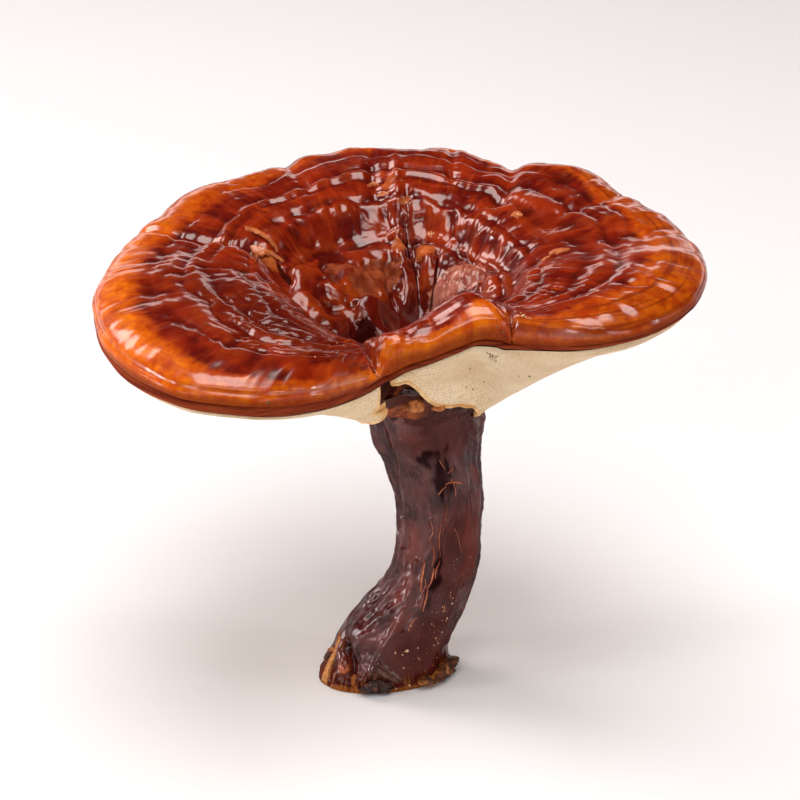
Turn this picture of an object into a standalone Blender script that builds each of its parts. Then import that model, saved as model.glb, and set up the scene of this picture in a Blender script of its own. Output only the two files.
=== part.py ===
# Reishi mushroom: a lacquered, funnel-shaped cap on a curved stem that was cut off flat.
# The cap's margin curls round the top of the stem, so its left lobe and its small front lobe
# meet in a notch, and a cleft parts the front lobe from the right one. A cream pore layer
# covers the cap's underside, and scraps of bark and wood still cling to the foot.
# Tables are in millimetres. The origin is the middle of the flat cut, and +Z is up.
import math

import bmesh
import bpy
import numpy as np
from mathutils import Vector, noise

MM = 0.001
GAP = 0.35

CAP_CENTRE = (4.0, 2.0)
FUNNEL_FLOOR = 94.5

# The cap's outline: direction from the cap's centre in degrees, distance of the rim, height of
# the seam between the orange roll and the brown lip, and height of the brown lip.
RIM = [
    (-168, 76.0, 111.5, 2.8), (-151, 80.2, 110.5, 3.2), (-140, 81.8, 109.8, 3.2),
    (-130, 80.9, 109.0, 3.0), (-122, 76.0, 108.0, 3.0), (-116, 70.8, 107.0, 3.0),
    (-109, 60.0, 105.0, 2.8), (-104, 49.5, 103.2, 2.6), (-99.5, 40.2, 101.6, 2.2),
    (-96, 36.4, 101.8, 2.2), (-87, 34.8, 104.0, 2.2), (-77, 35.6, 106.2, 2.2),
    (-68, 37.0, 108.5, 2.2), (-60, 38.4, 110.0, 2.0), (-53.5, 40.4, 109.4, 2.0),
    (-50, 41.6, 108.2, 1.8), (-46.5, 49.0, 109.6, 1.6), (-43, 57.0, 111.0, 1.6),
    (-36, 64.2, 112.0, 1.6), (-27, 70.3, 113.0, 1.6), (-15, 74.2, 113.8, 1.6),
    (-4, 75.2, 113.8, 1.6), (5, 75.0, 113.0, 1.6), (11, 74.0, 112.8, 1.6),
    (19, 73.2, 113.6, 1.6), (28, 71.2, 113.8, 1.6), (36, 70.6, 114.0, 1.8),
    (46, 73.0, 114.6, 1.8), (56, 69.4, 114.8, 1.8), (66, 64.6, 114.2, 1.8),
    (77, 67.2, 115.4, 1.8), (90, 65.6, 115.8, 1.8), (104, 66.6, 115.6, 2.0),
    (117, 66.4, 115.0, 2.0), (129, 66.0, 113.8, 2.0), (143, 69.6, 113.2, 2.2),
    (155, 69.2, 112.2, 2.4), (168, 70.6, 111.6, 2.6), (180, 72.4, 111.4, 2.8),
]

# The orange roll along the rim: direction, width and height above the seam.
ROLL = [
    (-150, 12.0, 7.5), (-125, 13.0, 7.2), (-108, 11.5, 6.0), (-100, 8.5, 4.4), (-96, 8.0, 4.4),
    (-90, 8.5, 5.4), (-77, 9.0, 7.0), (-64, 9.5, 8.0), (-54, 9.5, 8.6), (-49, 9.0, 8.0),
    (-45, 8.0, 6.0), (-20, 9.5, 6.0), (10, 9.0, 6.2), (50, 8.5, 6.6), (95, 8.0, 6.6),
    (140, 9.0, 6.6), (180, 10.5, 6.8),
]

# How far the roll curls round, in degrees: a little past the vertical, down to the seam.
ROLL_TURN = 104

# The brown lip below the seam: how far it stands back from the rim, at shares of its height.
BROWN_LIP = [(1.0, 0.1), (0.7, 0.5), (1.1, 0.85)]

# The shoulder where the plateau turns down into the funnel: direction, distance and height.
MOUTH = [
    (-160, 34.0, 115.0), (-135, 36.0, 113.0), (-116, 33.0, 109.5), (-105, 26.5, 106.0),
    (-97, 24.0, 106.0), (-88, 23.5, 108.2), (-76, 24.0, 111.8), (-64, 25.5, 115.0),
    (-53, 27.5, 115.4), (-44, 31.0, 114.0), (-25, 32.5, 114.8), (0, 31.0, 115.5),
    (40, 29.5, 116.5), (80, 35.0, 117.0), (110, 34.5, 117.0), (145, 35.0, 116.5),
    (175, 35.5, 115.8),
]

# The funnel's wall, as shares of the mouth's distance and of the funnel's depth. The back
# wall drops to a terrace first; the front wall is one long slope.
BACK_WALL = [(0.0, 0.0), (0.26, 0.10), (0.52, 0.44), (0.74, 0.62), (0.86, 0.70), (1.0, 0.96)]
FRONT_WALL = [(0.0, 0.0), (0.26, 0.14), (0.52, 0.45), (0.74, 0.68), (0.86, 0.82), (1.0, 0.96)]
BACK_WALL_FROM = -25
BACK_WALL_TO = 175

# Growth ridges on the plateau, and the lower swellings that cross them.
RIDGES = 4
RIDGE_HEIGHT = 0.9
SWELLING_HEIGHT = 1.0
SWELLING_LENGTH = 13.0

# Lumps on the cap and the torn pit: middle, radius along and across, turn in degrees and
# height, which is negative for a pit.
CAP_LUMPS = [
    (-19.0, 7.0, 6.0, 5.0, 20, 2.4), (-2.5, 3.5, 5.0, 4.0, 10, 4.0),
    (-10.0, 17.5, 9.0, 4.0, 10, 1.4), (11.0, 19.0, 6.0, 3.5, 65, 2.2),
    (19.0, 11.0, 5.0, 4.0, 30, 1.6), (-31.5, 10.5, 4.5, 2.8, 150, -2.8),
    (0.5, -28.5, 4.5, 3.6, 100, 2.6), (-5.0, -13.5, 8.0, 5.5, 15, -6.0),
]

# Folds and clefts on the cap: points along it from the rim inwards, width and height, which is
# negative for a furrow. The first two part the front lobe from the left and the right one.
CAP_FOLDS = [
    ([(-0.4, -37.5), (-5.2, -32.5), (-8.0, -25.0)], 1.7, -5.0),
    ([(30.4, -32.0), (30.2, -26.0), (27.5, -19.0)], 1.4, -5.0),
    ([(2.6, 56.0), (3.2, 36.0), (4.6, 24.0), (6.2, 13.0)], 1.5, 1.8),
    ([(5.6, 41.0), (6.0, 30.0), (8.6, 22.0), (9.0, 11.0)], 1.3, -2.6),
    ([(-68.0, 22.0), (-50.0, 13.5), (-35.0, 11.0)], 1.8, -1.5),
    ([(33.5, 58.0), (32.0, 45.0), (29.0, 34.0)], 2.4, -1.8),
    ([(17.6, 62.0), (17.0, 46.0)], 1.5, -1.0), ([(-4.0, 60.0), (-2.6, 40.0)], 1.5, -1.0),
    ([(-27.0, 60.0), (-20.0, 40.0)], 2.2, -1.2), ([(64.0, 40.0), (44.0, 26.0)], 2.2, -1.2),
]

# The underside: where the cap sits on the stem, how fast it rises from there by direction,
# and the thickness of the pore layer at the stem and at its margin.
SEAT_CENTRE = (10.4, 0.0)
SEAT_RADIUS = 15.6
SEAT_HEIGHT = 82.2
UNDERSIDE_BEND = [(-130, 1.5), (-97, 1.2), (-70, 1.1), (-45, 1.2), (0, 1.4), (90, 1.6), (180, 1.5)]
LIP_INSET = 2.4
PORE_SKIN_FROM = 0.985
PORE_AT_STEM = [(-160, 4.6), (-125, 5.6), (-95, 3.6), (-60, 2.4), (-10, 2.8), (90, 2.6), (160, 3.6)]
PORE_AT_MARGIN = [(-150, 1.1), (-100, 1.0), (-60, 1.2), (-35, 2.0), (0, 1.8), (90, 1.4), (180, 1.2)]

# The gap in the pore layer below the notch, seen from above, with its scalloped sides.
PORE_GAP = [
    (-1.0, -42.0), (0.8, -42.0), (0.9, -33.5), (1.5, -31.3), (3.4, -29.6), (5.6, -28.2),
    (7.6, -25.8), (9.3, -23.5), (11.3, -21.2), (15.0, -18.8), (19.0, -16.6), (23.0, -12.0),
    (16.0, -6.0), (4.0, -6.0), (-4.5, -9.5), (-6.5, -16.0), (-4.4, -21.5), (-2.4, -25.4),
    (-0.2, -27.2), (0.4, -29.2), (-1.2, -31.0), (-0.4, -33.5),
]

# The stem: height, middle in x and y, half widths and turn in degrees, from the cut up.
STEM = [
    (0.0, 0.0, 0.6, 17.8, 11.5, 15), (3.5, 0.4, 0.6, 16.4, 11.6, 11), (8.0, 1.5, 0.6, 14.8, 11.5, 9),
    (14.0, 3.6, 0.7, 14.2, 11.2, 6), (20.0, 7.2, 0.9, 13.4, 10.9, 3), (26.0, 10.8, 1.1, 11.8, 10.6, 0),
    (32.0, 12.8, 1.2, 11.2, 10.3, 0), (38.0, 13.9, 1.2, 10.9, 10.1, 0), (44.0, 14.2, 1.1, 10.5, 10.0, 0),
    (50.0, 14.4, 0.9, 10.8, 10.0, 0), (57.0, 13.4, 0.6, 11.3, 10.4, 0), (64.0, 11.9, 0.3, 11.9, 11.2, 0),
    (71.0, 10.2, 0.1, 13.7, 12.4, 0), (77.0, 10.2, 0.0, 14.5, 13.4, 0), (81.8, 10.4, 0.0, 14.7, 14.2, 0),
]
STEM_SIDES = 28
STEM_RINGS = 27
STEM_SWELLING = 0.6

# Lumps and hollows on the stem: height, direction, radius up and around, height of the lump.
STEM_LUMPS = [
    (8.5, -146, 5.5, 2.6, 1.7), (11.0, -127, 7.0, 3.0, -1.2), (21.0, -128, 8.0, 6.0, 0.8),
    (4.0, -120, 3.0, 3.5, 1.0), (34.0, -75, 13.0, 3.0, -1.0), (44.0, -95, 20.0, 2.6, 0.6),
    (52.0, 175, 22.0, 2.2, -0.9), (60.0, -155, 24.0, 2.4, 0.8), (76.0, -95, 4.0, 3.4, 1.3),
    (45.0, -20, 24.0, 2.6, -0.8), (22.0, 60, 10.0, 6.0, 0.8), (12.0, 120, 9.0, 5.0, -0.9),
]

# The scraps that cling to the foot, row by row upwards: height, and the directions of both edges.
BARK_CHIP = [(1.2, -62, -44), (2.2, -70, -32), (3.4, -64, -19), (4.6, -50, -14)]
BARK_CRUMB = [(1.0, -112, -98), (2.4, -114, -95), (3.8, -110, -99)]
WOOD_SPLINTER = [(0.8, -170, -160), (3.5, -172, -163), (7.0, -174, -167), (10.0, -174, -171)]
SCRAP_STAND_OFF = 0.25
SCRAP_COLUMNS = 4

CAP_SIDES = 80
FUNNEL_RINGS = 8
ROLL_STEPS = 6
UNDERSIDE_STEPS = 5


def smooth(x, y, at):
    """Values at the places in at of a smooth curve through x, y that never overshoots.

    Each row is a curve of its own.
    """
    step = np.diff(x)
    rise = np.diff(y) / step
    before, after = rise[:, :-1], rise[:, 1:]
    product = before * after
    total = np.where(np.abs(before + after) < 1e-12, 1.0, before + after)
    slope = np.zeros_like(y)
    slope[:, 1:-1] = np.where(product > 0, 2 * product / total, 0)
    slope[:, 0], slope[:, -1] = rise[:, 0], rise[:, -1]
    index = (at[:, :, None] >= x[:, None, 1:-1]).sum(axis=2)

    def pick(values, shift=0):
        return np.take_along_axis(values, index + shift, axis=1)

    width = pick(step)
    t = (at - pick(x)) / width
    return (pick(y) * (1 + 2 * t) * (1 - t) ** 2 + pick(slope) * width * t * (1 - t) ** 2
            + pick(y, 1) * t * t * (3 - 2 * t) + pick(slope, 1) * width * t * t * (t - 1))


def round_the_cap(table, column, directions):
    """A column of a table of directions, read at any direction as a closed smooth curve."""
    rows = sorted(table)
    x = np.array([row[0] + turn for turn in (-360, 0, 360) for row in rows], float)
    y = np.array([row[column] for row in rows] * 3, float)
    return smooth(x[None], y[None], np.asarray(directions, float)[None])[0]


def cap_directions():
    """Directions of the cap's sides, close together at the notch and the cleft."""
    fine = np.linspace(-180, 180, 721)
    density = 1 + 2.6 * np.exp(-((fine + 102) / 12) ** 2) + 2.0 * np.exp(-((fine + 50) / 7) ** 2)
    share = np.concatenate([[0], np.cumsum((density[1:] + density[:-1]) / 2)])
    return np.interp(np.arange(CAP_SIDES) / CAP_SIDES, share / share[-1], fine)


def ease(value, low, high):
    """0 below low, 1 above high, and a smooth step between them."""
    t = np.clip((value - low) / (high - low), 0, 1)
    return t * t * (3 - 2 * t)


def lump(x, y, middle_x, middle_y, along, across, turn, height):
    """A rounded lump, or a pit where the height is negative."""
    angle = math.radians(turn)
    u = (x - middle_x) * math.cos(angle) + (y - middle_y) * math.sin(angle)
    v = (y - middle_y) * math.cos(angle) - (x - middle_x) * math.sin(angle)
    return height * np.exp(-(u / along) ** 2 - (v / across) ** 2)


def fold(x, y, path, width, height):
    """A ridge along a path of points, or a furrow where the height is negative."""
    nearest = np.full(np.shape(x), 1e9)
    for (ax, ay), (bx, by) in zip(path, path[1:]):
        along = ((x - ax) * (bx - ax) + (y - ay) * (by - ay)) / ((bx - ax) ** 2 + (by - ay) ** 2)
        along = np.clip(along, 0, 1)
        apart = (x - ax - along * (bx - ax)) ** 2 + (y - ay - along * (by - ay)) ** 2
        nearest = np.minimum(nearest, apart)
    return height * np.exp(-nearest / width ** 2)


def swelling(x, y, z, length):
    """Smooth lumpiness between -1 and 1, for arrays of places."""
    flat = zip(np.ravel(x), np.ravel(y), np.ravel(z))
    values = [noise.noise(Vector(place) / length) for place in flat]
    return np.array(values).reshape(np.shape(x))


def cap_top(directions):
    """Distance and height of the upper surface, one row for each direction, floor to seam."""
    rim = round_the_cap(RIM, 1, directions)
    seam = round_the_cap(RIM, 2, directions)
    width = round_the_cap(ROLL, 1, directions)
    height = round_the_cap(ROLL, 2, directions)
    mouth = round_the_cap(MOUTH, 1, directions)
    shoulder = round_the_cap(MOUTH, 2, directions)
    crest = rim - width
    top = seam + height

    back = (ease(directions, BACK_WALL_FROM - 25, BACK_WALL_FROM + 25)
            * (1 - ease(directions, BACK_WALL_TO - 25, BACK_WALL_TO + 5)))
    knots = [(-0.26 * mouth, FUNNEL_FLOOR + 0.1 * (shoulder - FUNNEL_FLOOR))]
    for (share, deep), (_, plain) in zip(BACK_WALL, FRONT_WALL):
        level = back * deep + (1 - back) * plain
        knots.append((share * mouth, FUNNEL_FLOOR + level * (shoulder - FUNNEL_FLOOR)))
    knots.append((mouth + 0.18 * (crest - mouth), shoulder + 0.35 * (top - shoulder)))
    knots.append((crest, top))
    knots.append((rim, seam))
    x = np.stack([knot[0] for knot in knots], axis=1)
    y = np.stack([knot[1] for knot in knots], axis=1)

    shares = np.arange(1, FUNNEL_RINGS + 1) / FUNNEL_RINGS
    plateau = np.arange(1, 4 * RIDGES + 1) / (4 * RIDGES)
    r = np.concatenate([mouth[:, None] * shares, mouth[:, None] + (crest - mouth)[:, None] * plateau],
                       axis=1)
    z = smooth(x, y, r)
    ridge = np.cos(2 * np.pi * RIDGES * plateau) * (1 - plateau ** 6)
    z[:, FUNNEL_RINGS:] += ridge * RIDGE_HEIGHT * ease(crest - mouth, 5, 26)[:, None]

    turns = np.arange(1, ROLL_STEPS + 1) / ROLL_STEPS * math.radians(ROLL_TURN)
    last = math.cos(turns[-1])
    bulge = np.sin(turns)
    fall = (np.cos(turns) - last) / (1 - last)
    r = np.concatenate([r, crest[:, None] + width[:, None] * bulge], axis=1)
    z = np.concatenate([z, seam[:, None] + height[:, None] * fall], axis=1)
    return r, z


def cap_relief(x, y, z, r, directions):
    """What the lumps, folds and swellings add to the height of the upper surface."""
    rim = round_the_cap(RIM, 1, directions)[:, None]
    seam = round_the_cap(RIM, 2, directions)[:, None]
    relief = sum(lump(x, y, *row) for row in CAP_LUMPS)
    relief = relief + sum(fold(x, y, *row) for row in CAP_FOLDS)
    swell = swelling(x, y, z, SWELLING_LENGTH) * ease(rim - r, 0, 9)
    return (relief * ease(z - seam, 0, 3.5) + SWELLING_HEIGHT * swell) * ease(r, 0, 6)


def place(centre, r, directions):
    """Plan positions at distances r from a centre, one row for each direction."""
    angle = np.radians(directions)[:, None]
    return centre[0] + r * np.cos(angle), centre[1] + r * np.sin(angle)


def underside(directions, shares):
    """The cap's lower surface from the seat on the stem (share 0) to the lip (share 1)."""
    rim = round_the_cap(RIM, 1, directions)
    lip = round_the_cap(RIM, 2, directions) - round_the_cap(RIM, 3, directions) - 0.2
    bend = round_the_cap(UNDERSIDE_BEND, 1, directions)[:, None]
    inner_x, inner_y = place(SEAT_CENTRE, np.full((len(directions), 1), SEAT_RADIUS), directions)
    outer_x, outer_y = place(CAP_CENTRE, (rim - LIP_INSET)[:, None], directions)
    x = inner_x + (outer_x - inner_x) * shares
    y = inner_y + (outer_y - inner_y) * shares
    rise = 1 - (1 - np.asarray(shares)) ** bend
    return x, y, SEAT_HEIGHT + (lip[:, None] - SEAT_HEIGHT) * rise


def underside_shares():
    """Shares from the lip (1) to the seat (0), closer together near the stem."""
    return np.linspace(1, 0, UNDERSIDE_STEPS + 1) ** 1.3


def rings_to_mesh(name, rings, start=None, end=None):
    """A closed skin over rings of points, closed at both ends by a point or a flat face.

    With neither end the last ring joins the first, as on a tube bent round on itself.
    """
    shape = bmesh.new()
    rows = [[shape.verts.new(Vector(point) * MM) for point in ring] for ring in rings]
    sides = len(rows[0])
    pairs = list(zip(rows, rows[1:]))
    if start is None and end is None:
        pairs.append((rows[-1], rows[0]))
    for lower, upper in pairs:
        for side in range(sides):
            following = (side + 1) % sides
            shape.faces.new((lower[side], lower[following], upper[following], upper[side]))
    for close, ring in ((start, rows[0]), (end, rows[-1])):
        if close == "flat":
            shape.faces.new(ring)
        elif close is not None:
            tip = shape.verts.new(Vector(close) * MM)
            for side in range(sides):
                shape.faces.new((ring[side], ring[(side + 1) % sides], tip))
    bmesh.ops.recalc_face_normals(shape, faces=shape.faces)
    mesh = bpy.data.meshes.new(name)
    shape.to_mesh(mesh)
    shape.free()
    return mesh


def add_piece(name, mesh, collection, colour=None, roughness=0.5):
    """An object in the collection, with its own material if it is given a colour."""
    piece = bpy.data.objects.new(name, mesh)
    collection.objects.link(piece)
    if colour is None:
        piece.hide_render = True
        piece.display_type = "WIRE"
        return piece
    material = bpy.data.materials.new(name)
    material.use_nodes = True
    shader = material.node_tree.nodes["Principled BSDF"]
    shader.inputs["Base Color"].default_value = (*colour, 1)
    shader.inputs["Roughness"].default_value = roughness
    shader.inputs["Metallic"].default_value = 0
    mesh.materials.append(material)
    mesh.shade_smooth()
    mesh.set_sharp_from_angle(angle=math.radians(50))
    return piece


def columns(x, y, z):
    """Rings of points from arrays that hold one row for each direction."""
    return [list(zip(x[:, ring], y[:, ring], z[:, ring])) for ring in range(x.shape[1])]


def make_cap(collection):
    """The cap: the lacquered upper side, the rolled margin, the brown lip and the flesh."""
    directions = cap_directions()
    r, z = cap_top(directions)
    x, y = place(CAP_CENTRE, r, directions)
    z = z + cap_relief(x, y, z, r, directions)
    rings = columns(x, y, z)

    rim = round_the_cap(RIM, 1, directions)[:, None]
    seam = z[:, -1:]
    lip = round_the_cap(RIM, 3, directions)[:, None]
    for inset, share in BROWN_LIP:
        x, y = place(CAP_CENTRE, rim - inset, directions)
        rings += columns(x, y, seam - share * lip)

    rings += columns(*underside(directions, underside_shares()))
    floor = (*CAP_CENTRE, FUNNEL_FLOOR)
    seat = (*SEAT_CENTRE, SEAT_HEIGHT)
    mesh = rings_to_mesh("cap", rings, start=floor, end=seat)
    return add_piece("cap", mesh, collection, (0.26, 0.035, 0.012), 0.16)


def make_pore_layer(collection, guides):
    """The cream pore layer: a skin under the cap with an open gap below the notch."""
    directions = cap_directions()
    shares = underside_shares()
    shares[0] = PORE_SKIN_FROM
    x, y, z = underside(directions, shares)
    margin = round_the_cap(PORE_AT_MARGIN, 1, directions)[:, None]
    at_stem = round_the_cap(PORE_AT_STEM, 1, directions)[:, None]
    thickness = at_stem + (margin - at_stem) * shares ** 0.7
    upper = columns(x, y, z - GAP)
    lower = columns(x, y, z - GAP - thickness)
    mesh = rings_to_mesh("pore_layer", upper + lower[::-1])
    piece = add_piece("pore_layer", mesh, collection, (0.78, 0.66, 0.48), 0.75)

    tall = [(px, py, height) for height in (70.0, 115.0) for px, py in PORE_GAP]
    half = len(PORE_GAP)
    wedge = rings_to_mesh("pore_gap", [tall[:half], tall[half:]], start="flat", end="flat")
    cut = piece.modifiers.new("gap below the notch", "BOOLEAN")
    cut.operation = "DIFFERENCE"
    cut.solver = "EXACT"
    cut.object = add_piece("pore_gap", wedge, guides)
    return piece


def stem_surface(height, direction, stand_off=0.0):
    """A place on the stem's skin, or a little way off it."""
    table = np.array(STEM, float).T
    heights = table[0][None]
    at = np.array([[height]], float)
    middle_x, middle_y, half_x, half_y, turn = [smooth(heights, row[None], at)[0, 0]
                                                for row in table[1:]]
    push = stand_off
    for lump_height, lump_direction, up, around, rise in STEM_LUMPS:
        apart = (direction - lump_direction + 180) % 360 - 180
        apart = math.radians(apart) * (half_x + half_y) / 2
        push += rise * math.exp(-((height - lump_height) / up) ** 2 - (apart / around) ** 2)
    angle = math.radians(direction)
    spot = Vector((2.6 * math.cos(angle), 2.6 * math.sin(angle), height / 11))
    push += STEM_SWELLING * noise.noise(spot) * min(1, height / 4)
    u = (half_x + push) * math.cos(angle)
    v = (half_y + push) * math.sin(angle)
    turn = math.radians(turn)
    x = middle_x + u * math.cos(turn) - v * math.sin(turn)
    y = middle_y + u * math.sin(turn) + v * math.cos(turn)
    return x, y, height


def make_stem(collection):
    """The stem: an oval trunk that leans and bends, spreads into a foot and was cut flat."""
    top = STEM[-1][0]
    directions = [360 * side / STEM_SIDES for side in range(STEM_SIDES)]
    heights = [top * ring / (STEM_RINGS - 1) for ring in range(STEM_RINGS)]
    rings = [[stem_surface(height, direction) for direction in directions] for height in heights]
    mesh = rings_to_mesh("stem", rings, start="flat", end="flat")
    return add_piece("stem", mesh, collection, (0.085, 0.022, 0.018), 0.3)


def make_scrap(name, collection, outline, thickness, curl, colour):
    """A scrap of bark or wood that clings to the foot: a patch of the stem's skin, thickened.

    The curl is how much further its middle stands off the stem than its edges.
    """
    shape = bmesh.new()
    rows = []
    for height, first, last in outline:
        row = []
        for step in range(SCRAP_COLUMNS + 1):
            direction = first + (last - first) * step / SCRAP_COLUMNS
            off = GAP + SCRAP_STAND_OFF + curl * math.sin(math.pi * step / SCRAP_COLUMNS)
            row.append(shape.verts.new(Vector(stem_surface(height, direction, off)) * MM))
        rows.append(row)
    for lower, upper in zip(rows, rows[1:]):
        for step in range(SCRAP_COLUMNS):
            shape.faces.new((lower[step], lower[step + 1], upper[step + 1], upper[step]))
    mesh = bpy.data.meshes.new(name)
    shape.to_mesh(mesh)
    shape.free()
    piece = add_piece(name, mesh, collection, colour, 0.8)
    wall = piece.modifiers.new("thickness", "SOLIDIFY")
    wall.thickness = thickness * MM
    wall.offset = 1
    return piece


# Start from an empty scene, then make one piece after the other.
for old in list(bpy.data.objects):
    bpy.data.objects.remove(old)

mushroom = bpy.data.collections.new("reishi mushroom")
cutters = bpy.data.collections.new("cutters")
for group in (mushroom, cutters):
    bpy.context.scene.collection.children.link(group)

make_cap(mushroom)
make_pore_layer(mushroom, cutters)
make_stem(mushroom)
make_scrap("bark_chip", mushroom, BARK_CHIP, 2.0, 0.5, (0.12, 0.05, 0.015))
make_scrap("bark_crumb", mushroom, BARK_CRUMB, 1.0, 0.3, (0.05, 0.025, 0.02))
make_scrap("wood_splinter", mushroom, WOOD_SPLINTER, 0.7, 0.1, (0.42, 0.2, 0.06))
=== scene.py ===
# A reishi mushroom on a pale studio floor: a lacquered funnel-shaped cap, the cream pore layer
# under it, a dark curved stem, and the scraps of bark and wood that cling to its foot.
# Tables are in millimetres. The origin is the middle of the flat cut, and +Z is up.
import math

import bmesh
import bpy
import numpy as np
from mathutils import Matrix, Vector, noise
from mathutils.bvhtree import BVHTree


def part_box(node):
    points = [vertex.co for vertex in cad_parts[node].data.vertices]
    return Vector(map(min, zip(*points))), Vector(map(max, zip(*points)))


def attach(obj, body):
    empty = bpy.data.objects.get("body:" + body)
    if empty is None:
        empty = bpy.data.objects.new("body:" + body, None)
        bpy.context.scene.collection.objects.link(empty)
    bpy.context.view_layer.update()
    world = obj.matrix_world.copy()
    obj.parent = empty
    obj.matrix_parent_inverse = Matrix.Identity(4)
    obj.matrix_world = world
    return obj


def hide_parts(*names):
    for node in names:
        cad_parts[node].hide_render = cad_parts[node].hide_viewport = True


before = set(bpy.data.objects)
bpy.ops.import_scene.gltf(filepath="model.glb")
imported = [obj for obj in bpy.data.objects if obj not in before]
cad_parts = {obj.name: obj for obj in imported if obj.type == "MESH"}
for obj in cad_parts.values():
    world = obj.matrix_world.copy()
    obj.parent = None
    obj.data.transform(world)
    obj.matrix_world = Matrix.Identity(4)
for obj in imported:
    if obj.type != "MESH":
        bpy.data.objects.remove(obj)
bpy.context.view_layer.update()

MM = 0.001


# The stem
# One tough, woody trunk under a thin crust of dark purplish lacquer. It grew bent and folded,
# and it was cut off flat at the foot, where torn fibres and ochre wood show along the edge.

STEM = [
    (0.0, 0.0, 0.6, 17.8, 11.5, 15), (3.5, 0.4, 0.6, 16.4, 11.6, 11), (8.0, 1.5, 0.6, 14.8, 11.5, 9),
    (14.0, 3.6, 0.7, 14.2, 11.2, 6), (20.0, 7.2, 0.9, 13.4, 10.9, 3), (26.0, 10.8, 1.1, 11.8, 10.6, 0),
    (32.0, 12.8, 1.2, 11.2, 10.3, 0), (38.0, 13.9, 1.2, 10.9, 10.1, 0), (44.0, 14.2, 1.1, 10.5, 10.0, 0),
    (50.0, 14.4, 0.9, 10.8, 10.0, 0), (57.0, 13.4, 0.6, 11.3, 10.4, 0), (64.0, 11.9, 0.3, 11.9, 11.2, 0),
    (71.0, 10.2, 0.1, 13.7, 12.4, 0), (77.0, 10.2, 0.0, 14.5, 13.4, 0), (81.8, 10.4, 0.0, 14.7, 14.2, 0),
]
STEM_SWELLING = 0.6
STEM_SIDES = 320
STEM_RINGS = 270

# Lumps and hollows: height, direction in degrees, radius up and around, height of the lump.
STEM_LUMPS = [
    (8.5, -146, 5.5, 2.6, 0.7), (11.0, -127, 7.0, 3.0, -0.6), (21.0, -128, 8.0, 6.0, 0.8),
    (4.0, -120, 3.0, 3.5, 1.0), (34.0, -75, 13.0, 3.0, -1.0), (44.0, -95, 20.0, 2.6, 0.6),
    (52.0, 175, 22.0, 2.2, -0.9), (60.0, -155, 24.0, 2.4, 0.8), (76.0, -95, 4.0, 3.4, 1.3),
    (45.0, -20, 24.0, 2.6, -0.8), (22.0, 60, 10.0, 6.0, 0.8), (12.0, 120, 9.0, 5.0, -0.9),
]

# Folds of the crust: points as height and direction, width, and height of the fold.
STEM_FOLDS = [
    ([(80, -134), (75, -126), (69, -122), (62, -133), (55, -137), (48, -144), (40, -146)], 0.8, 0.9),
    ([(80, -146), (74, -139), (68, -135), (61, -146), (54, -150), (44, -156)], 0.9, -0.9),
    ([(77, -160), (68, -152), (60, -160), (50, -164), (40, -158), (30, -166), (22, -176)], 0.8, 0.8),
    ([(47, -154), (40, -150), (33, -150), (26, -158), (20, -172)], 0.7, 0.7),
    ([(38, -140), (31, -136), (25, -142), (20, -150)], 0.8, 0.5),
    ([(79, -42), (69, -20), (64, -24), (58, -25), (53, -34), (44, -32), (35, -36), (27, -31)], 0.7, 0.9),
    ([(70, -34), (62, -36), (55, -44), (46, -42)], 0.9, -0.6),
    ([(76, -14), (66, -6), (58, -11), (50, -13), (42, -18), (33, -14), (22, -22), (11, -30)], 0.8, 0.8),
    ([(37, -122), (29, -118), (22, -111), (17, -108), (12, -110), (7, -114)], 0.8, 0.8),
    ([(30, -108), (24, -103), (19, -100)], 1.2, -0.5),
    ([(12.0, -157), (10.5, -148), (8.0, -139), (5.5, -135)], 0.8, -2.0),
    ([(8.8, -110), (6.4, -97), (3.6, -86)], 0.5, 0.8),
    ([(60, -66), (54, -80), (50, -86), (44, -92)], 0.45, -0.45),
    ([(58, -58), (51, -72), (46, -84), (40, -90)], 0.4, -0.35),
    ([(50, -104), (43, -101), (37, -108), (29, -106)], 0.5, 0.45),
    ([(48, -92), (42, -96), (35, -92), (30, -97)], 0.5, 0.4),
    ([(64, 150), (50, 140), (36, 148), (22, 138)], 1.2, 0.8),
    ([(70, 60), (54, 72), (40, 66), (26, 76)], 1.3, -0.7),
    ([(66, 105), (48, 98), (30, 108), (14, 100)], 1.1, 0.7),
    ([(72, 20), (56, 30), (40, 24), (24, 34)], 1.1, 0.7),
]
STEM_GIRTH = 11.5

# How high each kind of relief stands on the crust, and at the torn edge of the cut.
STREAK_HEIGHT = 0.30
FINE_STREAK_HEIGHT = 0.05
FOOT_KNOB_HEIGHT = 0.55
FOOT_PIT_HEIGHT = 0.14
PIT_HEIGHT = 0.13
DIMPLE_HEIGHT = 0.26
CUT_LUMP_HEIGHT = 0.30
CUT_PIT_HEIGHT = 0.25

# Strips of bare ochre wood at the foot: points as height and direction, and width.
OCHRE_STRIPS = [([(12, 178), (7, 185), (3, 191), (0, 195)], 1.0), ([(4.5, -131), (1.0, -127)], 0.5)]

# Patches of colour: height, direction, radius up and around.
BLACK_PATCHES = [(64, -76, 7.5, 3.4), (60, -84, 4.5, 2.6), (68, -88, 3.5, 3.2), (33, -90, 9, 1.8)]
RED_PATCHES = [
    (6.5, -146, 4.5, 2.2), (20.5, -110, 4, 2.6), (60.5, -30, 4.5, 1.4), (40, -130, 10, 4),
    (42, -40, 14, 5), (80, -115, 3, 6), (30, -125, 6, 3),
]
DULL_PATCHES = [(40, -65, 18, 8), (12, -70, 14, 9), (74, -70, 8, 11)]


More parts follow.
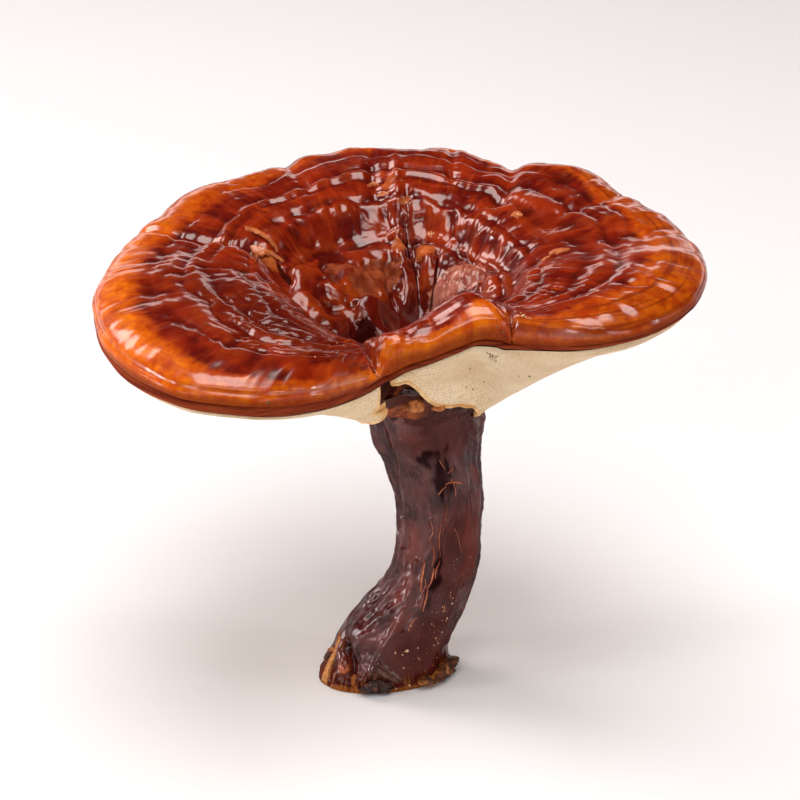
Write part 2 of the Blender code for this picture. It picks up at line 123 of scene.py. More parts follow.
def smooth(x, y, at):
    """Values at the places in at of a smooth curve through x, y that never overshoots.

    Each row is a curve of its own.
    """
    step = np.diff(x)
    rise = np.diff(y) / step
    before, after = rise[:, :-1], rise[:, 1:]
    product = before * after
    total = np.where(np.abs(before + after) < 1e-12, 1.0, before + after)
    slope = np.zeros_like(y)
    slope[:, 1:-1] = np.where(product > 0, 2 * product / total, 0)
    slope[:, 0], slope[:, -1] = rise[:, 0], rise[:, -1]
    index = (at[:, :, None] >= x[:, None, 1:-1]).sum(axis=2)

    def pick(values, shift=0):
        return np.take_along_axis(values, index + shift, axis=1)

    width = pick(step)
    t = (at - pick(x)) / width
    return (pick(y) * (1 + 2 * t) * (1 - t) ** 2 + pick(slope) * width * t * (1 - t) ** 2
            + pick(y, 1) * t * t * (3 - 2 * t) + pick(slope, 1) * width * t * t * (t - 1))


def ease(value, low, high):
    """0 below low, 1 above high, and a smooth step between them."""
    t = np.clip((value - low) / (high - low), 0, 1)
    return t * t * (3 - 2 * t)


def squared_distance(x, y, path):
    """How far places lie from a path of points, squared."""
    nearest = np.full(np.shape(x), 1e9)
    for (ax, ay), (bx, by) in zip(path, path[1:]):
        along = ((x - ax) * (bx - ax) + (y - ay) * (by - ay)) / ((bx - ax) ** 2 + (by - ay) ** 2)
        along = np.clip(along, 0, 1)
        apart = (x - ax - along * (bx - ax)) ** 2 + (y - ay - along * (by - ay)) ** 2
        nearest = np.minimum(nearest, apart)
    return nearest


def fold(x, y, path, width, height):
    """A ridge along a path of points, or a furrow where the height is negative."""
    return height * np.exp(-squared_distance(x, y, path) / width ** 2)


def swelling(x, y, z, length=1.0):
    """Smooth lumpiness between -1 and 1, for arrays of places."""
    x, y, z = np.broadcast_arrays(x, y, z)
    flat = zip(np.ravel(x), np.ravel(y), np.ravel(z))
    values = [noise.noise(Vector(place) / length) for place in flat]
    return np.array(values).reshape(np.shape(x))


def creases(value, softness=0.25):
    """Turns lumpiness into thin crests, between -1 and 1."""
    return 1 + softness - 2 * np.sqrt(4 * value ** 2 + softness ** 2)


def stem_surface(heights, directions, stand_off=0.0):
    """Places on the stem's skin, or a little way off it."""
    table = np.array(STEM, float).T
    rows = np.ravel(heights)[None]
    read = [smooth(table[0][None], row[None], rows).reshape(np.shape(heights)) for row in table[1:]]
    middle_x, middle_y, half_x, half_y, turn = read
    push = np.zeros(np.shape(heights)) + stand_off
    for lump_height, lump_direction, up, around, rise in STEM_LUMPS:
        apart = (directions - lump_direction + 180) % 360 - 180
        apart = np.radians(apart) * (half_x + half_y) / 2
        push = push + rise * np.exp(-((heights - lump_height) / up) ** 2 - (apart / around) ** 2)
    angle = np.radians(directions)
    push = push + STEM_SWELLING * np.clip(heights / 4, 0, 1) * swelling(
        2.6 * np.cos(angle), 2.6 * np.sin(angle), heights / 11)
    u = (half_x + push) * np.cos(angle)
    v = (half_y + push) * np.sin(angle)
    turn = np.radians(turn)
    x = middle_x + u * np.cos(turn) - v * np.sin(turn)
    y = middle_y + u * np.sin(turn) + v * np.cos(turn)
    return np.stack([x, y, heights + 0 * x], axis=-1)


def outwards(points):
    """The direction straight out of a skin that is a grid of points: rows round the piece."""
    around = np.roll(points, -1, axis=0) - np.roll(points, 1, axis=0)
    along = np.gradient(points, axis=1)
    across = np.cross(around, along)
    return across / np.maximum(np.linalg.norm(across, axis=2, keepdims=True), 1e-9)


def skin(points, marks, hollow=False):
    """A closed mesh over a grid of points, and the numbers that its material reads from it.

    Both ends are closed by a fan to the middle of their ring, or joined where it is hollow.
    """
    sides, rings = points.shape[:2]
    index = np.arange(sides * rings).reshape(sides, rings)
    following = np.roll(index, -1, axis=0)
    joined = slice(None) if hollow else slice(None, -1)
    quads = [index, following, np.roll(following, -1, axis=1), np.roll(index, -1, axis=1)]
    faces = np.stack([quad[:, joined] for quad in quads], axis=-1).reshape(-1, 4).tolist()
    first, last = sides * rings, sides * rings + 1
    for side in range(0 if hollow else sides):
        after = (side + 1) % sides
        faces.append((index[after, 0], index[side, 0], first))
        faces.append((index[side, -1], index[after, -1], last))
    ends = np.empty((0, 3)) if hollow else [points[:, 0].mean(axis=0), points[:, -1].mean(axis=0)]
    mesh = bpy.data.meshes.new("skin")
    places = np.concatenate([points.reshape(-1, 3), ends]) * MM
    mesh.from_pydata(places.tolist(), [], faces)
    for mark, values in marks.items():
        values = np.asarray(values, float)
        closing = np.stack([values[:, 0].mean(axis=0), values[:, -1].mean(axis=0)]).reshape(2, -1)
        values = np.concatenate([values.reshape(sides * rings, -1), closing[:len(ends)]])
        kind, field = ("FLOAT", "value") if values.shape[1] == 1 else ("FLOAT_VECTOR", "vector")
        mesh.attributes.new(mark, kind, "POINT").data.foreach_set(field, values.ravel())
    corners = places[np.array([face[:3] for face in faces])]
    if np.einsum("ij,ij->", corners[:, 0], np.cross(corners[:, 1], corners[:, 2])) < 0:
        mesh.flip_normals()
    mesh.shade_smooth()
    return mesh


def show(name, mesh, material, replaces=None):
    """Put a finished mesh in the scene as a piece of the mushroom."""
    mesh.name = name
    piece = bpy.data.objects.new(name, mesh)
    bpy.context.scene.collection.objects.link(piece)
    mesh.materials.clear()
    mesh.materials.append(material)
    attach(piece, "root")
    if replaces:
        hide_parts(replaces)
    return piece


class Wire:
    """The output of a material's node, so that shader maths reads as plain expressions."""

    def __init__(self, tree, socket):
        self.tree = tree
        self.socket = socket

    def node(self, kind, settings, sockets, output=0):
        """Add a node of any type, with its settings and the values or wires of its sockets."""
        made = self.tree.nodes.new(kind)
        for name, value in settings.items():
            setattr(made, name, value)
        for name, value in sockets.items():
            if isinstance(value, Wire):
                self.tree.links.new(value.socket, made.inputs[name])
            else:
                made.inputs[name].default_value = value
        return Wire(self.tree, made.outputs[output])

    def maths(self, operation, *values):
        return self.node("ShaderNodeMath", {"operation": operation}, dict(enumerate(values)))

    def __add__(self, other):
        return self.maths("ADD", self, other)

    def __sub__(self, other):
        return self.maths("SUBTRACT", self, other)

    def __rsub__(self, other):
        return self.maths("SUBTRACT", other, self)

    def __mul__(self, other):
        return self.maths("MULTIPLY", self, other)

    __radd__ = __add__
    __rmul__ = __mul__

    def ease(self, low, high):
        """0 below low, 1 above high, and a smooth step between them."""
        return self.node("ShaderNodeMapRange", {"interpolation_type": "SMOOTHSTEP"},
                         {"Value": self, "From Min": low, "From Max": high})

    def mark(self, name, vector=False):
        """A number, or a vector, that is stored on the mesh."""
        return self.node("ShaderNodeAttribute", {"attribute_name": name}, {}, 1 if vector else 2)

    def axis(self, number):
        """This place along one of its three axes."""
        return self.node("ShaderNodeSeparateXYZ", {}, {0: self}, number)

    def ragged(self, name, scale=450, amount=0.8):
        """Where a patch that is stored on the mesh lies, with a ragged edge."""
        return (self.mark(name) + self.lumpy(scale, 3, 0.6) * amount - amount / 2).ease(0.36, 0.52)

    def stretched(self, x, y, z):
        """This place with its three axes stretched."""
        return self.node("ShaderNodeVectorMath", {"operation": "MULTIPLY"}, {0: self, 1: (x, y, z)})

    def lumpy(self, scale=1.0, detail=2.0, roughness=0.5):
        """Lumpiness between 0 and 1 at this place."""
        return self.node("ShaderNodeTexNoise", {},
                         {"Vector": self, "Scale": scale, "Detail": detail, "Roughness": roughness})

    def cells(self, scale, feature="F1", randomness=1.0):
        """Distance to the nearest cell's middle, or to its edge, at this place."""
        return self.node("ShaderNodeTexVoronoi", {"feature": feature},
                         {"Vector": self, "Scale": scale, "Randomness": randomness})

    def mix(self, first, second):
        """Between two colours, by this number."""
        solid = [(*colour, 1) if isinstance(colour, tuple) else colour for colour in (first, second)]
        return self.node("ShaderNodeMix", {"data_type": "RGBA"}, {0: self, 6: solid[0], 7: solid[1]}, 2)


def new_material(name, specular, tint=(1.0, 0.82, 0.78), coat_roughness=0.1, coat_ior=1.5):
    """A material, and the wire of places on the piece."""
    material = bpy.data.materials.new(name)
    material.use_nodes = True
    tree = material.node_tree
    shader = tree.nodes["Principled BSDF"]
    shader.inputs["Specular IOR Level"].default_value = specular
    shader.inputs["Specular Tint"].default_value = (*tint, 1)
    shader.inputs["Coat Roughness"].default_value = coat_roughness
    shader.inputs["Coat IOR"].default_value = coat_ior
    coordinates = tree.nodes.new("ShaderNodeTexCoord")
    return material, Wire(tree, coordinates.outputs["Object"])


def finish_material(place, colour, roughness, height, relief, lacquer=None):
    """Wire up a shader: colour, roughness, and fine relief of a height in millimetres.

    Lacquer is how much of the clear, smooth outer coat each place has.
    """
    tree = place.tree
    shader = tree.nodes["Principled BSDF"]
    tree.links.new(colour.socket, shader.inputs["Base Color"])
    tree.links.new(roughness.socket, shader.inputs["Roughness"])
    bump = place.node("ShaderNodeBump", {}, {"Height": height, "Distance": relief * MM, "Strength": 1.0})
    tree.links.new(bump.socket, shader.inputs["Normal"])
    if lacquer:
        tree.links.new(lacquer.socket, shader.inputs["Coat Weight"])


top = STEM[-1][0]
stem_heights = top * (np.arange(STEM_RINGS) / (STEM_RINGS - 1)) ** 1.1
stem_directions = np.arange(STEM_SIDES) * 360 / STEM_SIDES - 180
heights, directions = np.meshgrid(stem_heights, stem_directions)
angle = np.radians(directions)
stem_points = stem_surface(heights, directions)
stem_out = outwards(stem_points)


def stem_fold(path, width, rise):
    """A fold along a path of heights and directions, which may pass behind the stem."""
    total = 0 * heights
    for lap in (-360, 0, 360):
        flat = [(math.radians(turn + lap) * STEM_GIRTH, height) for height, turn in path]
        total = total + fold(angle * STEM_GIRTH, heights, flat, width, rise)
    return total


relief = np.zeros(heights.shape)
for path, width, rise in STEM_FOLDS:
    relief += stem_fold(path, width, rise)
round_x, round_y = np.cos(angle), np.sin(angle)
streaks = swelling(5.2 * round_x, 5.2 * round_y, heights / 16)
fine_streaks = creases(swelling(10 * round_x + 7, 10 * round_y, heights / 9))
knobbly = swelling(4.2 * round_x, 4.2 * round_y + 9, heights / 4.5)
pitted = swelling(9 * round_x, 9 * round_y, heights / 1.6 + 5)
foot_left = (1 - ease(heights, 26, 36)) * ease(-np.abs((directions + 146 + 180) % 360 - 180), -42, -26)
upper = ease(heights, 34, 46)
relief += STREAK_HEIGHT * streaks + FINE_STREAK_HEIGHT * fine_streaks * (0.4 + 0.6 * upper)
dimpled = swelling(6 * round_x + 2, 6 * round_y, heights / 3.4 + 1)
relief += foot_left * (FOOT_KNOB_HEIGHT * knobbly + FOOT_PIT_HEIGHT * pitted)
relief += PIT_HEIGHT * pitted + DIMPLE_HEIGHT * dimpled
torn = CUT_LUMP_HEIGHT * swelling(7 * round_x, 7 * round_y, heights / 1.2) + CUT_PIT_HEIGHT * pitted
relief += torn * (1 - ease(heights, 1, 3.5))
relief *= ease(heights, 0, 1.2) * 0.75 + 0.25
stem_points = stem_points + stem_out * relief[..., None]
stem_points[..., 2] = np.clip(stem_points[..., 2], 0.0, top)
stem_points[:, 0, 2] = 0.0

# What the stem's colours follow: the ochre edge and strip, red patches, and the black patch.
blots = swelling(6 * round_x, 6 * round_y, heights / 3)
grain = swelling(16 * round_x, 16 * round_y, heights / 5)
edge = (1 - ease(heights, 0.5, 1.9)) * ease(-np.abs(directions + 85), -85, -50)
edge = ease(edge * (1 + 0.9 * blots + 0.7 * grain), 0.30, 0.6)
strip = 0 * heights
for path, width in OCHRE_STRIPS:
    strip = np.maximum(strip, stem_fold(path, width, 1))


def stem_patch(rows):
    """How far places on the stem lie in any of a few oval patches: height, direction, radii."""
    inside = 0 * heights
    for height, turn, up, around in rows:
        apart = np.radians((directions - turn + 180) % 360 - 180) * STEM_GIRTH
        inside = np.maximum(inside, np.exp(-((heights - height) / up) ** 2 - (apart / around) ** 2))
    return inside


black = ease(stem_patch(BLACK_PATCHES) + 0.55 * blots + 0.3 * grain, 0.30, 0.85)
red = ease(stem_patch(RED_PATCHES) + 0.3 * blots, 0.3, 0.9)
dull = ease(stem_patch(DULL_PATCHES), 0.2, 0.8)
marks = {"ochre": np.maximum(edge, ease(strip + 0.3 * grain, 0.4, 0.7)), "black": black, "red": red,
         "dull": dull, "round": np.stack([round_x, round_y, heights / 100], axis=-1)}
stem_mesh = skin(stem_points, marks)

stem_crust, place = new_material("stem lacquer", specular=0.0, coat_roughness=0.24, coat_ior=1.6)
around = place.mark("round", vector=True)
cloudy = place.lumpy(130, 4, 0.6)
streaky = around.stretched(30, 30, 20).lumpy(1, 4, 0.6)
body = cloudy.ease(0.34, 0.74).mix((0.022, 0.0009, 0.0005), (0.098, 0.0070, 0.0034))
body = (streaky.ease(0.45, 0.8) * 0.35).mix(body, (0.130, 0.017, 0.008))
body = (place.mark("dull") * 0.5).mix(body, (0.082, 0.014, 0.010))
body = (place.mark("red") * 0.50).mix(body, (0.17, 0.020, 0.006))
body = (place.mark("black") * 0.9).mix(body, (0.010, 0.0006, 0.0006))
woody = streaky.ease(0.3, 0.7).mix((0.11, 0.024, 0.005), (0.42, 0.15, 0.040))
body = place.mark("ochre").mix(body, woody)
rough = 0.35 + place.mark("dull") * 0.15 + place.mark("ochre") * 0.3 + cloudy * 0.12
tiny = around.stretched(70, 70, 60).lumpy(1, 3, 0.55)
lacquer = 0.52 + (streaky * 0.5 + cloudy * 0.5).ease(0.42, 0.62) * 0.44
for mark, share in (("dull", 0.55), ("ochre", 1.0), ("black", 0.85)):
    lacquer = lacquer * (1 - place.mark(mark) * share)
near_cut = 1 - (place.axis(2) + cloudy * 0.008).ease(0.007, 0.011)
body = (near_cut * streaky.ease(0.48, 0.62) * 0.6).mix(body, (0.26, 0.085, 0.022))
lacquer = lacquer * (1 - near_cut * 0.75)
tiny = tiny * 0.5 + place.lumpy(600, 2, 0.5) * 0.5
finish_material(place, body, rough, tiny, relief=0.06, lacquer=lacquer)
show("stem_skin", stem_mesh, stem_crust, replaces="stem")


# Fibres and crumbs on the stem
# Torn ochre fibres of the inner wood lie in a line down the front, where the crust has split,
# and cream crumbs of the growing medium stick to the lower right.

# Fibres: points as height and direction, and the radius in the middle.
FIBRES = [
    ([(67.8, -77), (66.6, -76), (64.9, -73.5)], 0.13), ([(63.4, -71), (64.2, -66), (64.8, -62)], 0.12),
    ([(60.2, -78), (60.7, -70), (60.4, -62), (59.7, -56)], 0.24),
    ([(57.6, -89), (58.9, -83), (59.7, -77)], 0.13),
    ([(61.8, -69), (59.0, -66), (56.5, -68)], 0.12), ([(37.6, -109), (34.0, -108), (29.2, -105)], 0.26),
    ([(37.9, -90), (35.5, -93), (33.0, -91.5)], 0.14), ([(35.9, -96), (33.0, -95), (30.6, -97)], 0.22),
    ([(30.2, -97), (27.0, -94), (23.6, -90)], 0.17), ([(28.6, -99), (26.0, -97), (24.6, -96)], 0.12),
    ([(49.7, -104), (46.5, -101), (43.9, -106), (41.0, -101)], 0.10),
    ([(50.1, -88), (45.0, -93), (39.3, -90)], 0.10), ([(55.0, -80), (50.0, -86), (45.0, -89)], 0.09),
    ([(42.6, -100), (39.0, -97), (36.6, -99)], 0.16), ([(47.0, -72), (44.0, -64), (39.0, -58)], 0.08),
    ([(33.0, -104), (31.0, -101), (28.0, -102)], 0.11), ([(22.0, -92), (20.0, -95), (18.0, -93)], 0.12),
    ([(24.6, -65), (23.4, -62), (22.6, -61)], 0.14), ([(20.1, -53), (19.0, -51.5)], 0.13),
    ([(27.6, -62), (26.4, -60)], 0.12), ([(14.6, -55), (13.6, -53)], 0.14),
]
FIBRE_STEPS = 4

# How far the middle of a fibre or a crumb lies off the crust, as a share of its radius.
FIBRE_LIFT = 0.4
CRUMB_LIFT = 0.25

# Crumbs: height, direction and radius.
CRUMBS = [
    (11.8, -96, 0.30), (11.1, -88, 0.32), (12.2, -84, 0.42), (12.0, -86, 0.30), (7.3, -84, 0.36),
    (12.8, -74, 0.26), (19.4, -70, 0.22), (24.1, -66, 0.20), (22.7, -62, 0.24), (24.6, -54, 0.22),
    (20.1, -52, 0.26), (28.0, -62, 0.20), (19.6, -94, 0.18), (18.4, -94, 0.18), (21.0, -110, 0.20),
    (14.4, -54, 0.28), (12.3, -54, 0.24), (12.3, -48, 0.20), (15.7, -48, 0.20), (74.1, -116, 0.18),
    (79.5, -60, 0.24), (30.9, -30, 0.16), (26.2, -56, 0.16), (2.0, -70, 0.34), (1.4, -78, 0.30),
    (1.2, -90, 0.26), (2.6, -62, 0.30), (9.6, -70, 0.20), (8.9, -68, 0.16), (16.4, -60, 0.16),
]
# More of them lie scattered up to a height, round one direction, as wide as the spread.
SCATTERED_CRUMBS = 46
SCATTER_FROM = 4
SCATTER_HEIGHT = 34
SCATTER_DIRECTION = -62
SCATTER_SPREAD = 14
SCATTER_LIFT = 0.03
SMALLEST_CRUMB = 0.05
CRUMB_VARIATION = 0.10

# A line that looks for the crust starts outside it and runs inwards.
LINE_FROM = 6.0
LINE_TO = -5.0


def surface_of(mesh):
    """A mesh's surface, to be met by straight lines."""
    return BVHTree.FromPolygons([vertex.co for vertex in mesh.vertices],
                                [face.vertices[:] for face in mesh.polygons])


crust_tree = surface_of(stem_mesh)


def on_stem(height, direction, lift=0.0):
    """A place on the finished skin of the stem, raised by a lift."""
    start, inner = [stem_surface(np.array([float(height)]), np.array([float(direction)]), off)[0]
                    for off in (LINE_FROM, LINE_TO)]
    hit, normal, _, _ = crust_tree.ray_cast(Vector(start) * MM, Vector(inner - start))
    return np.array(hit) / MM + lift * np.array(normal)


def grown(source, build, material, **sizes):
    """The plain mesh that a Geometry Nodes tree makes from a source mesh and its named sizes."""
    tree = bpy.data.node_groups.new("growing", "GeometryNodeTree")
    tree.interface.new_socket("Geometry", in_out="INPUT", socket_type="NodeSocketGeometry")
    kinds = {float: "NodeSocketFloat", int: "NodeSocketInt"}
    inputs = {key: tree.interface.new_socket(key, in_out="INPUT", socket_type=kinds[type(value)])
              for key, value in sizes.items()}
    tree.interface.new_socket("Geometry", in_out="OUTPUT", socket_type="NodeSocketGeometry")
    start = tree.nodes.new("NodeGroupInput")
    wires = {key: Wire(tree, start.outputs[key]) for key in sizes}
    geometry = build(Wire(tree, start.outputs["Geometry"]), wires)
    geometry = geometry.node("GeometryNodeRealizeInstances", {}, {"Geometry": geometry})
    geometry = geometry.node("GeometryNodeSetMaterial", {}, {"Geometry": geometry, "Material": material})
    tree.links.new(geometry.socket, tree.nodes.new("NodeGroupOutput").inputs[0])
    holder = bpy.data.objects.new("growing", source)
    bpy.context.scene.collection.objects.link(holder)
    modifier = holder.modifiers.new("growing", "NODES")
    modifier.node_group = tree
    for key, value in sizes.items():
        modifier[inputs[key].identifier] = value
    mesh = bpy.data.meshes.new_from_object(holder.evaluated_get(bpy.context.evaluated_depsgraph_get()))
    bpy.data.objects.remove(holder)
    mesh.shade_smooth()
    return mesh


def sized_points(places, edges, attribute, sizes):
    """A mesh of bare points or lines, with a size stored at each point."""
    source = bpy.data.meshes.new("points")
    source.from_pydata([tuple(np.array(place) * MM) for place in places], edges, [])
    source.attributes.new(attribute, "FLOAT", "POINT").data.foreach_set("value", sizes)
    return source


def stored(geometry, name):
    """The size that is stored at each point."""
    return geometry.node("GeometryNodeInputNamedAttribute", {"data_type": "FLOAT"}, {"Name": name})


def strands(paths, material, sides=7):
    """Tubes along paths. A path is its places and the radius at each of them."""
    places = []
    edges = []
    radii = []
    for path, sizes in paths:
        edges += [(len(places) + step, len(places) + step + 1) for step in range(len(path) - 1)]
        places += list(path)
        radii += [float(size) for size in sizes]

    def build(geometry, sizes):
        line = geometry.node("GeometryNodeMeshToCurve", {}, {"Mesh": geometry})
        ring = geometry.node("GeometryNodeCurvePrimitiveCircle", {},
                             {"Resolution": sizes["Sides"], "Radius": sizes["Unit"]})
        radius = stored(geometry, "radius")
        return geometry.node("GeometryNodeCurveToMesh", {}, {
            "Curve": line, "Profile Curve": ring, "Scale": radius, "Fill Caps": True})

    return grown(sized_points(places, edges, "radius", radii), build, material, Sides=sides, Unit=MM)


def crumbs(spots, material, seed, detail=2):
    """Crumbs at spots, each of its own radius and shape and turned its own way."""
    places, radii = zip(*spots)

    def build(geometry, sizes):
        points = geometry.node("GeometryNodeMeshToPoints", {}, {"Mesh": geometry})
        grain = geometry.node("GeometryNodeMeshIcoSphere", {},
                              {"Radius": sizes["Unit"], "Subdivisions": detail})
        turn = geometry.node("FunctionNodeRandomValue", {"data_type": "FLOAT_VECTOR"},
                             {0: (0, 0, 0), 1: (math.tau, math.tau, math.tau), "Seed": sizes["Seed"]})
        shape = geometry.node("FunctionNodeRandomValue", {"data_type": "FLOAT_VECTOR"},
                              {0: (0.55, 0.55, 0.4), 1: (1.3, 1.1, 0.9), "Seed": sizes["Shape seed"]})
        scale = geometry.node("ShaderNodeVectorMath", {"operation": "SCALE"},
                              {0: shape, "Scale": stored(geometry, "crumb_size")})
        return geometry.node("GeometryNodeInstanceOnPoints", {}, {
            "Points": points, "Instance": grain, "Rotation": turn, "Scale": scale})

    source = sized_points(places, [], "crumb_size", [float(radius) for radius in radii])
    return grown(source, build, material, **{"Seed": seed, "Shape seed": seed + 1, "Unit": MM})


def drawn_out(points, count):
    """Points along a soft curve through a few points, ends included."""
    points = np.array(points, float)
    at = np.linspace(0, len(points) - 1, count)
    if len(points) == 2:
        return points[0] + (points[1] - points[0]) * at[:, None]
    x = np.arange(len(points), dtype=float)[None]
    return np.stack([smooth(x, column[None], at[None])[0] for column in points.T], axis=1)


def grained(name, specular, grain, blend, dark, light, rough, relief,
            stretch=(1, 1, 1), crisp=False, gloss=None):
    """A material whose two colours, roughness and fine relief follow one grain.

    Grain is its scale, detail and roughness, and blend where dark ends and light begins. Rough is
    the roughness of the dark and what the grain adds. A crisp grain is as sharp as the colours.
    Gloss is where the grain's lacquer begins and where it is full.
    """
    material, place = new_material(name, specular)
    tone = place.stretched(*stretch).lumpy(*grain)
    shade = tone.ease(*blend)
    if crisp:
        tone = shade
    lacquer = tone.ease(*gloss) if gloss else None
    finish_material(place, shade.mix(dark, light), rough[0] + tone * rough[1], tone, relief, lacquer)
    return material


fibre_wood = grained(
    "fibre ochre", specular=0.3, grain=(900, 2, 0.6), blend=(0.35, 0.65), dark=(0.30, 0.06, 0.025),
    light=(0.55, 0.17, 0.07), rough=(0.45, 0.2), relief=0.05, crisp=True)
fibre_paths = []
for path, radius in FIBRES:
    line = [on_stem(*spot, FIBRE_LIFT * radius) for spot in drawn_out(path, FIBRE_STEPS * len(path))]
    swell = np.sin(np.linspace(0.12, 0.92, len(line)) * math.pi)
    fibre_paths.append((line, radius * (0.25 + 0.75 * swell)))
show("stem_fibres", strands(fibre_paths, fibre_wood), fibre_wood)

crumb_cream = grained(
    "crumb cream", specular=0.2, grain=(500, 3, 0.6), blend=(0.3, 0.7), dark=(0.60, 0.30, 0.13),
    light=(0.86, 0.66, 0.44), rough=(0.6, 0.2), relief=0.05, crisp=True)
chance = np.random.default_rng(7)
spots = [(on_stem(height, direction, CRUMB_LIFT * radius), radius)
         for height, direction, radius in CRUMBS]
for _ in range(SCATTERED_CRUMBS):
    height = SCATTER_FROM + SCATTER_HEIGHT * chance.random() ** 1.3
    spot = on_stem(height, chance.normal(SCATTER_DIRECTION, SCATTER_SPREAD), SCATTER_LIFT)
    spots.append((spot, SMALLEST_CRUMB + CRUMB_VARIATION * chance.random()))
show("stem_crumbs", crumbs(spots, crumb_cream, 11), crumb_cream)


# The scraps at the foot
# Bark and torn wood from the log stayed on when the stem was pulled off and cut: a split bark
# chip at the right, a rough black crumb and a sliver in front, a strip of bare wood and a spur
# of bark at the left. Beside the strip, the red crust grew out into a finger.

# Row by row upwards: height, the directions of both edges.
CHIP_PLATE = [
    (1.5, -53, -41), (2.4, -57, -28), (3.3, -53, -19), (4.2, -47, -14), (4.9, -40, -18), (5.3, -36, -27),
]
CHIP_FRONT = [(0.7, -65, -58), (1.6, -70, -54), (2.6, -70, -55), (3.4, -67, -58), (3.9, -64, -61)]
CHIP_LOWER = [(0.35, -50, -38), (1.0, -55, -27), (1.9, -53, -22), (2.7, -47, -25)]
CRUMB_ROWS = [(0.5, -116, -97), (1.6, -121, -93), (2.8, -119, -94), (3.7, -114, -97), (4.3, -109, -102)]
SPLINTER_ROWS = [
    (0.5, -172, -161), (3.0, -174, -163), (6.0, -175.5, -167), (9.0, -176.5, -170), (11.5, -177, -174),
]
SLIVER_ROWS = [
    (3.4, -88, -84.5), (5.0, -97, -89), (6.6, -106, -95), (8.0, -110, -102), (9.2, -112.5, -109.5),
]
SPUR_ROWS = [(4.4, 176, 182), (5.6, 172, 181), (6.8, 171, 180), (7.8, 173, 179)]
SCRAP_ROWS = 30
SCRAP_COLUMNS = 26
SCRAP_STAND_OFF = 0.12
THINNEST_SCRAP = 0.05
LOWEST = 0.05

# The finger: points as height and direction, and its radius at shares of its length.
FINGER = [(11.8, -170), (10.2, -162), (8.2, -153), (6.4, -146.5), (4.6, -142)]
FINGER_SIZES = [(0.0, 0.3), (0.06, 0.9), (0.3, 1.35), (0.6, 1.5), (0.85, 1.75), (0.95, 1.3), (1.0, 0.5)]
FINGER_RINGS = 26
FINGER_SIDES = 28
FINGER_SINK = -0.2


def scrap(rows, depth, thickness, ragged, curl, seed):
    """A closed scrap on the stem: its grid of places, outer side first and inner side last.

    Depth is how far it reaches into the crust, ragged how far its outline wanders, and curl how
    far its edges stand off the crust.
    """
    rows = np.array(rows, float)
    heights = np.linspace(rows[0, 0], rows[-1, 0], SCRAP_ROWS)
    left, right = [np.interp(heights, rows[:, 0], rows[:, column]) for column in (1, 2)]
    jag = swelling(heights * 1.1, seed, 0) + 0.4 * swelling(heights * 3, seed, 9)
    left = left + ragged * jag
    right = right + ragged * swelling(heights * 1.9, seed, 5)
    u = np.linspace(0, 1, SCRAP_COLUMNS)
    v = np.linspace(0, 1, SCRAP_ROWS)[:, None]
    turns = left[:, None] + (right - left)[:, None] * u
    tall = heights[:, None] + 0 * turns
    tall = tall + ragged * 0.10 * swelling(turns / 3, tall, seed) * np.sin(math.pi * v)
    edge = (1 - np.abs(2 * u - 1) ** 6) * (1 - np.abs(2 * v - 1) ** 8)
    lifted = curl * np.abs(2 * u - 1)[None] ** 2
    fibrous = creases(swelling(turns / 2.2, tall / 6, seed)) + swelling(turns / 1.0, tall / 2, seed)
    rough = thickness * edge * (0.86 + 0.14 * fibrous)
    rough = rough + 0.30 * thickness * swelling(turns / 9, tall / 1.8, seed)
    outer = stem_surface(tall, turns, SCRAP_STAND_OFF + lifted + np.maximum(rough, THINNEST_SCRAP))
    inner = stem_surface(tall, turns, -depth + lifted)
    return outer, inner


def closed_scraps(*parts):
    """One mesh of closed scraps, none of which reaches below the lowest level."""
    places = []
    faces = []
    for outer, inner in parts:
        rows, columns = outer.shape[:2]
        index = np.arange(rows * columns).reshape(rows, columns) + len(places)
        under = index + rows * columns
        for row in range(rows - 1):
            for column in range(columns - 1):
                ring = [(row, column), (row, column + 1), (row + 1, column + 1), (row + 1, column)]
                faces.append([int(index[spot]) for spot in ring])
                faces.append([int(under[spot]) for spot in reversed(ring)])
        border = [(0, column) for column in range(columns)]
        border += [(row, columns - 1) for row in range(1, rows)]
        border += [(rows - 1, column) for column in range(columns - 2, -1, -1)]
        border += [(row, 0) for row in range(rows - 2, 0, -1)]
        for spot, after in zip(border, border[1:] + border[:1]):
            faces.append([int(index[after]), int(index[spot]), int(under[spot]), int(under[after])])
        both = np.concatenate([outer.reshape(-1, 3), inner.reshape(-1, 3)])
        both[:, 2] = np.maximum(both[:, 2], LOWEST)
        places += [tuple(place * MM) for place in both]
    mesh = bpy.data.meshes.new("scraps")
    mesh.from_pydata(places, [], faces)
    work = bmesh.new()
    work.from_mesh(mesh)
    bmesh.ops.recalc_face_normals(work, faces=work.faces)
    work.to_mesh(mesh)
    work.free()
    mesh.shade_smooth()
    mesh.set_sharp_from_angle(angle=math.radians(55))
    return mesh


bark_brown, place = new_material("bark brown", specular=0.35)
fibrous = place.stretched(1, 1, 2.2).lumpy(380, 4, 0.6)
patch = place.lumpy(240, 3, 0.55)
body = fibrous.ease(0.40, 0.65).mix((0.012, 0.003, 0.001), (0.17, 0.045, 0.007))
body = (patch.ease(0.52, 0.60) * 0.85).mix(body, (0.50, 0.19, 0.040))
finish_material(place, body, 0.30 + patch * 0.35, fibrous, relief=0.16)
chip = closed_scraps(
    scrap(CHIP_PLATE, depth=0.9, thickness=2.6, ragged=2.6, curl=1.6, seed=1),
    scrap(CHIP_FRONT, depth=0.8, thickness=2.4, ragged=2.6, curl=0.6, seed=2),
    scrap(CHIP_LOWER, depth=0.8, thickness=2.2, ragged=2.2, curl=0.4, seed=3))
show("bark_chip_skin", chip, bark_brown, replaces="bark_chip")

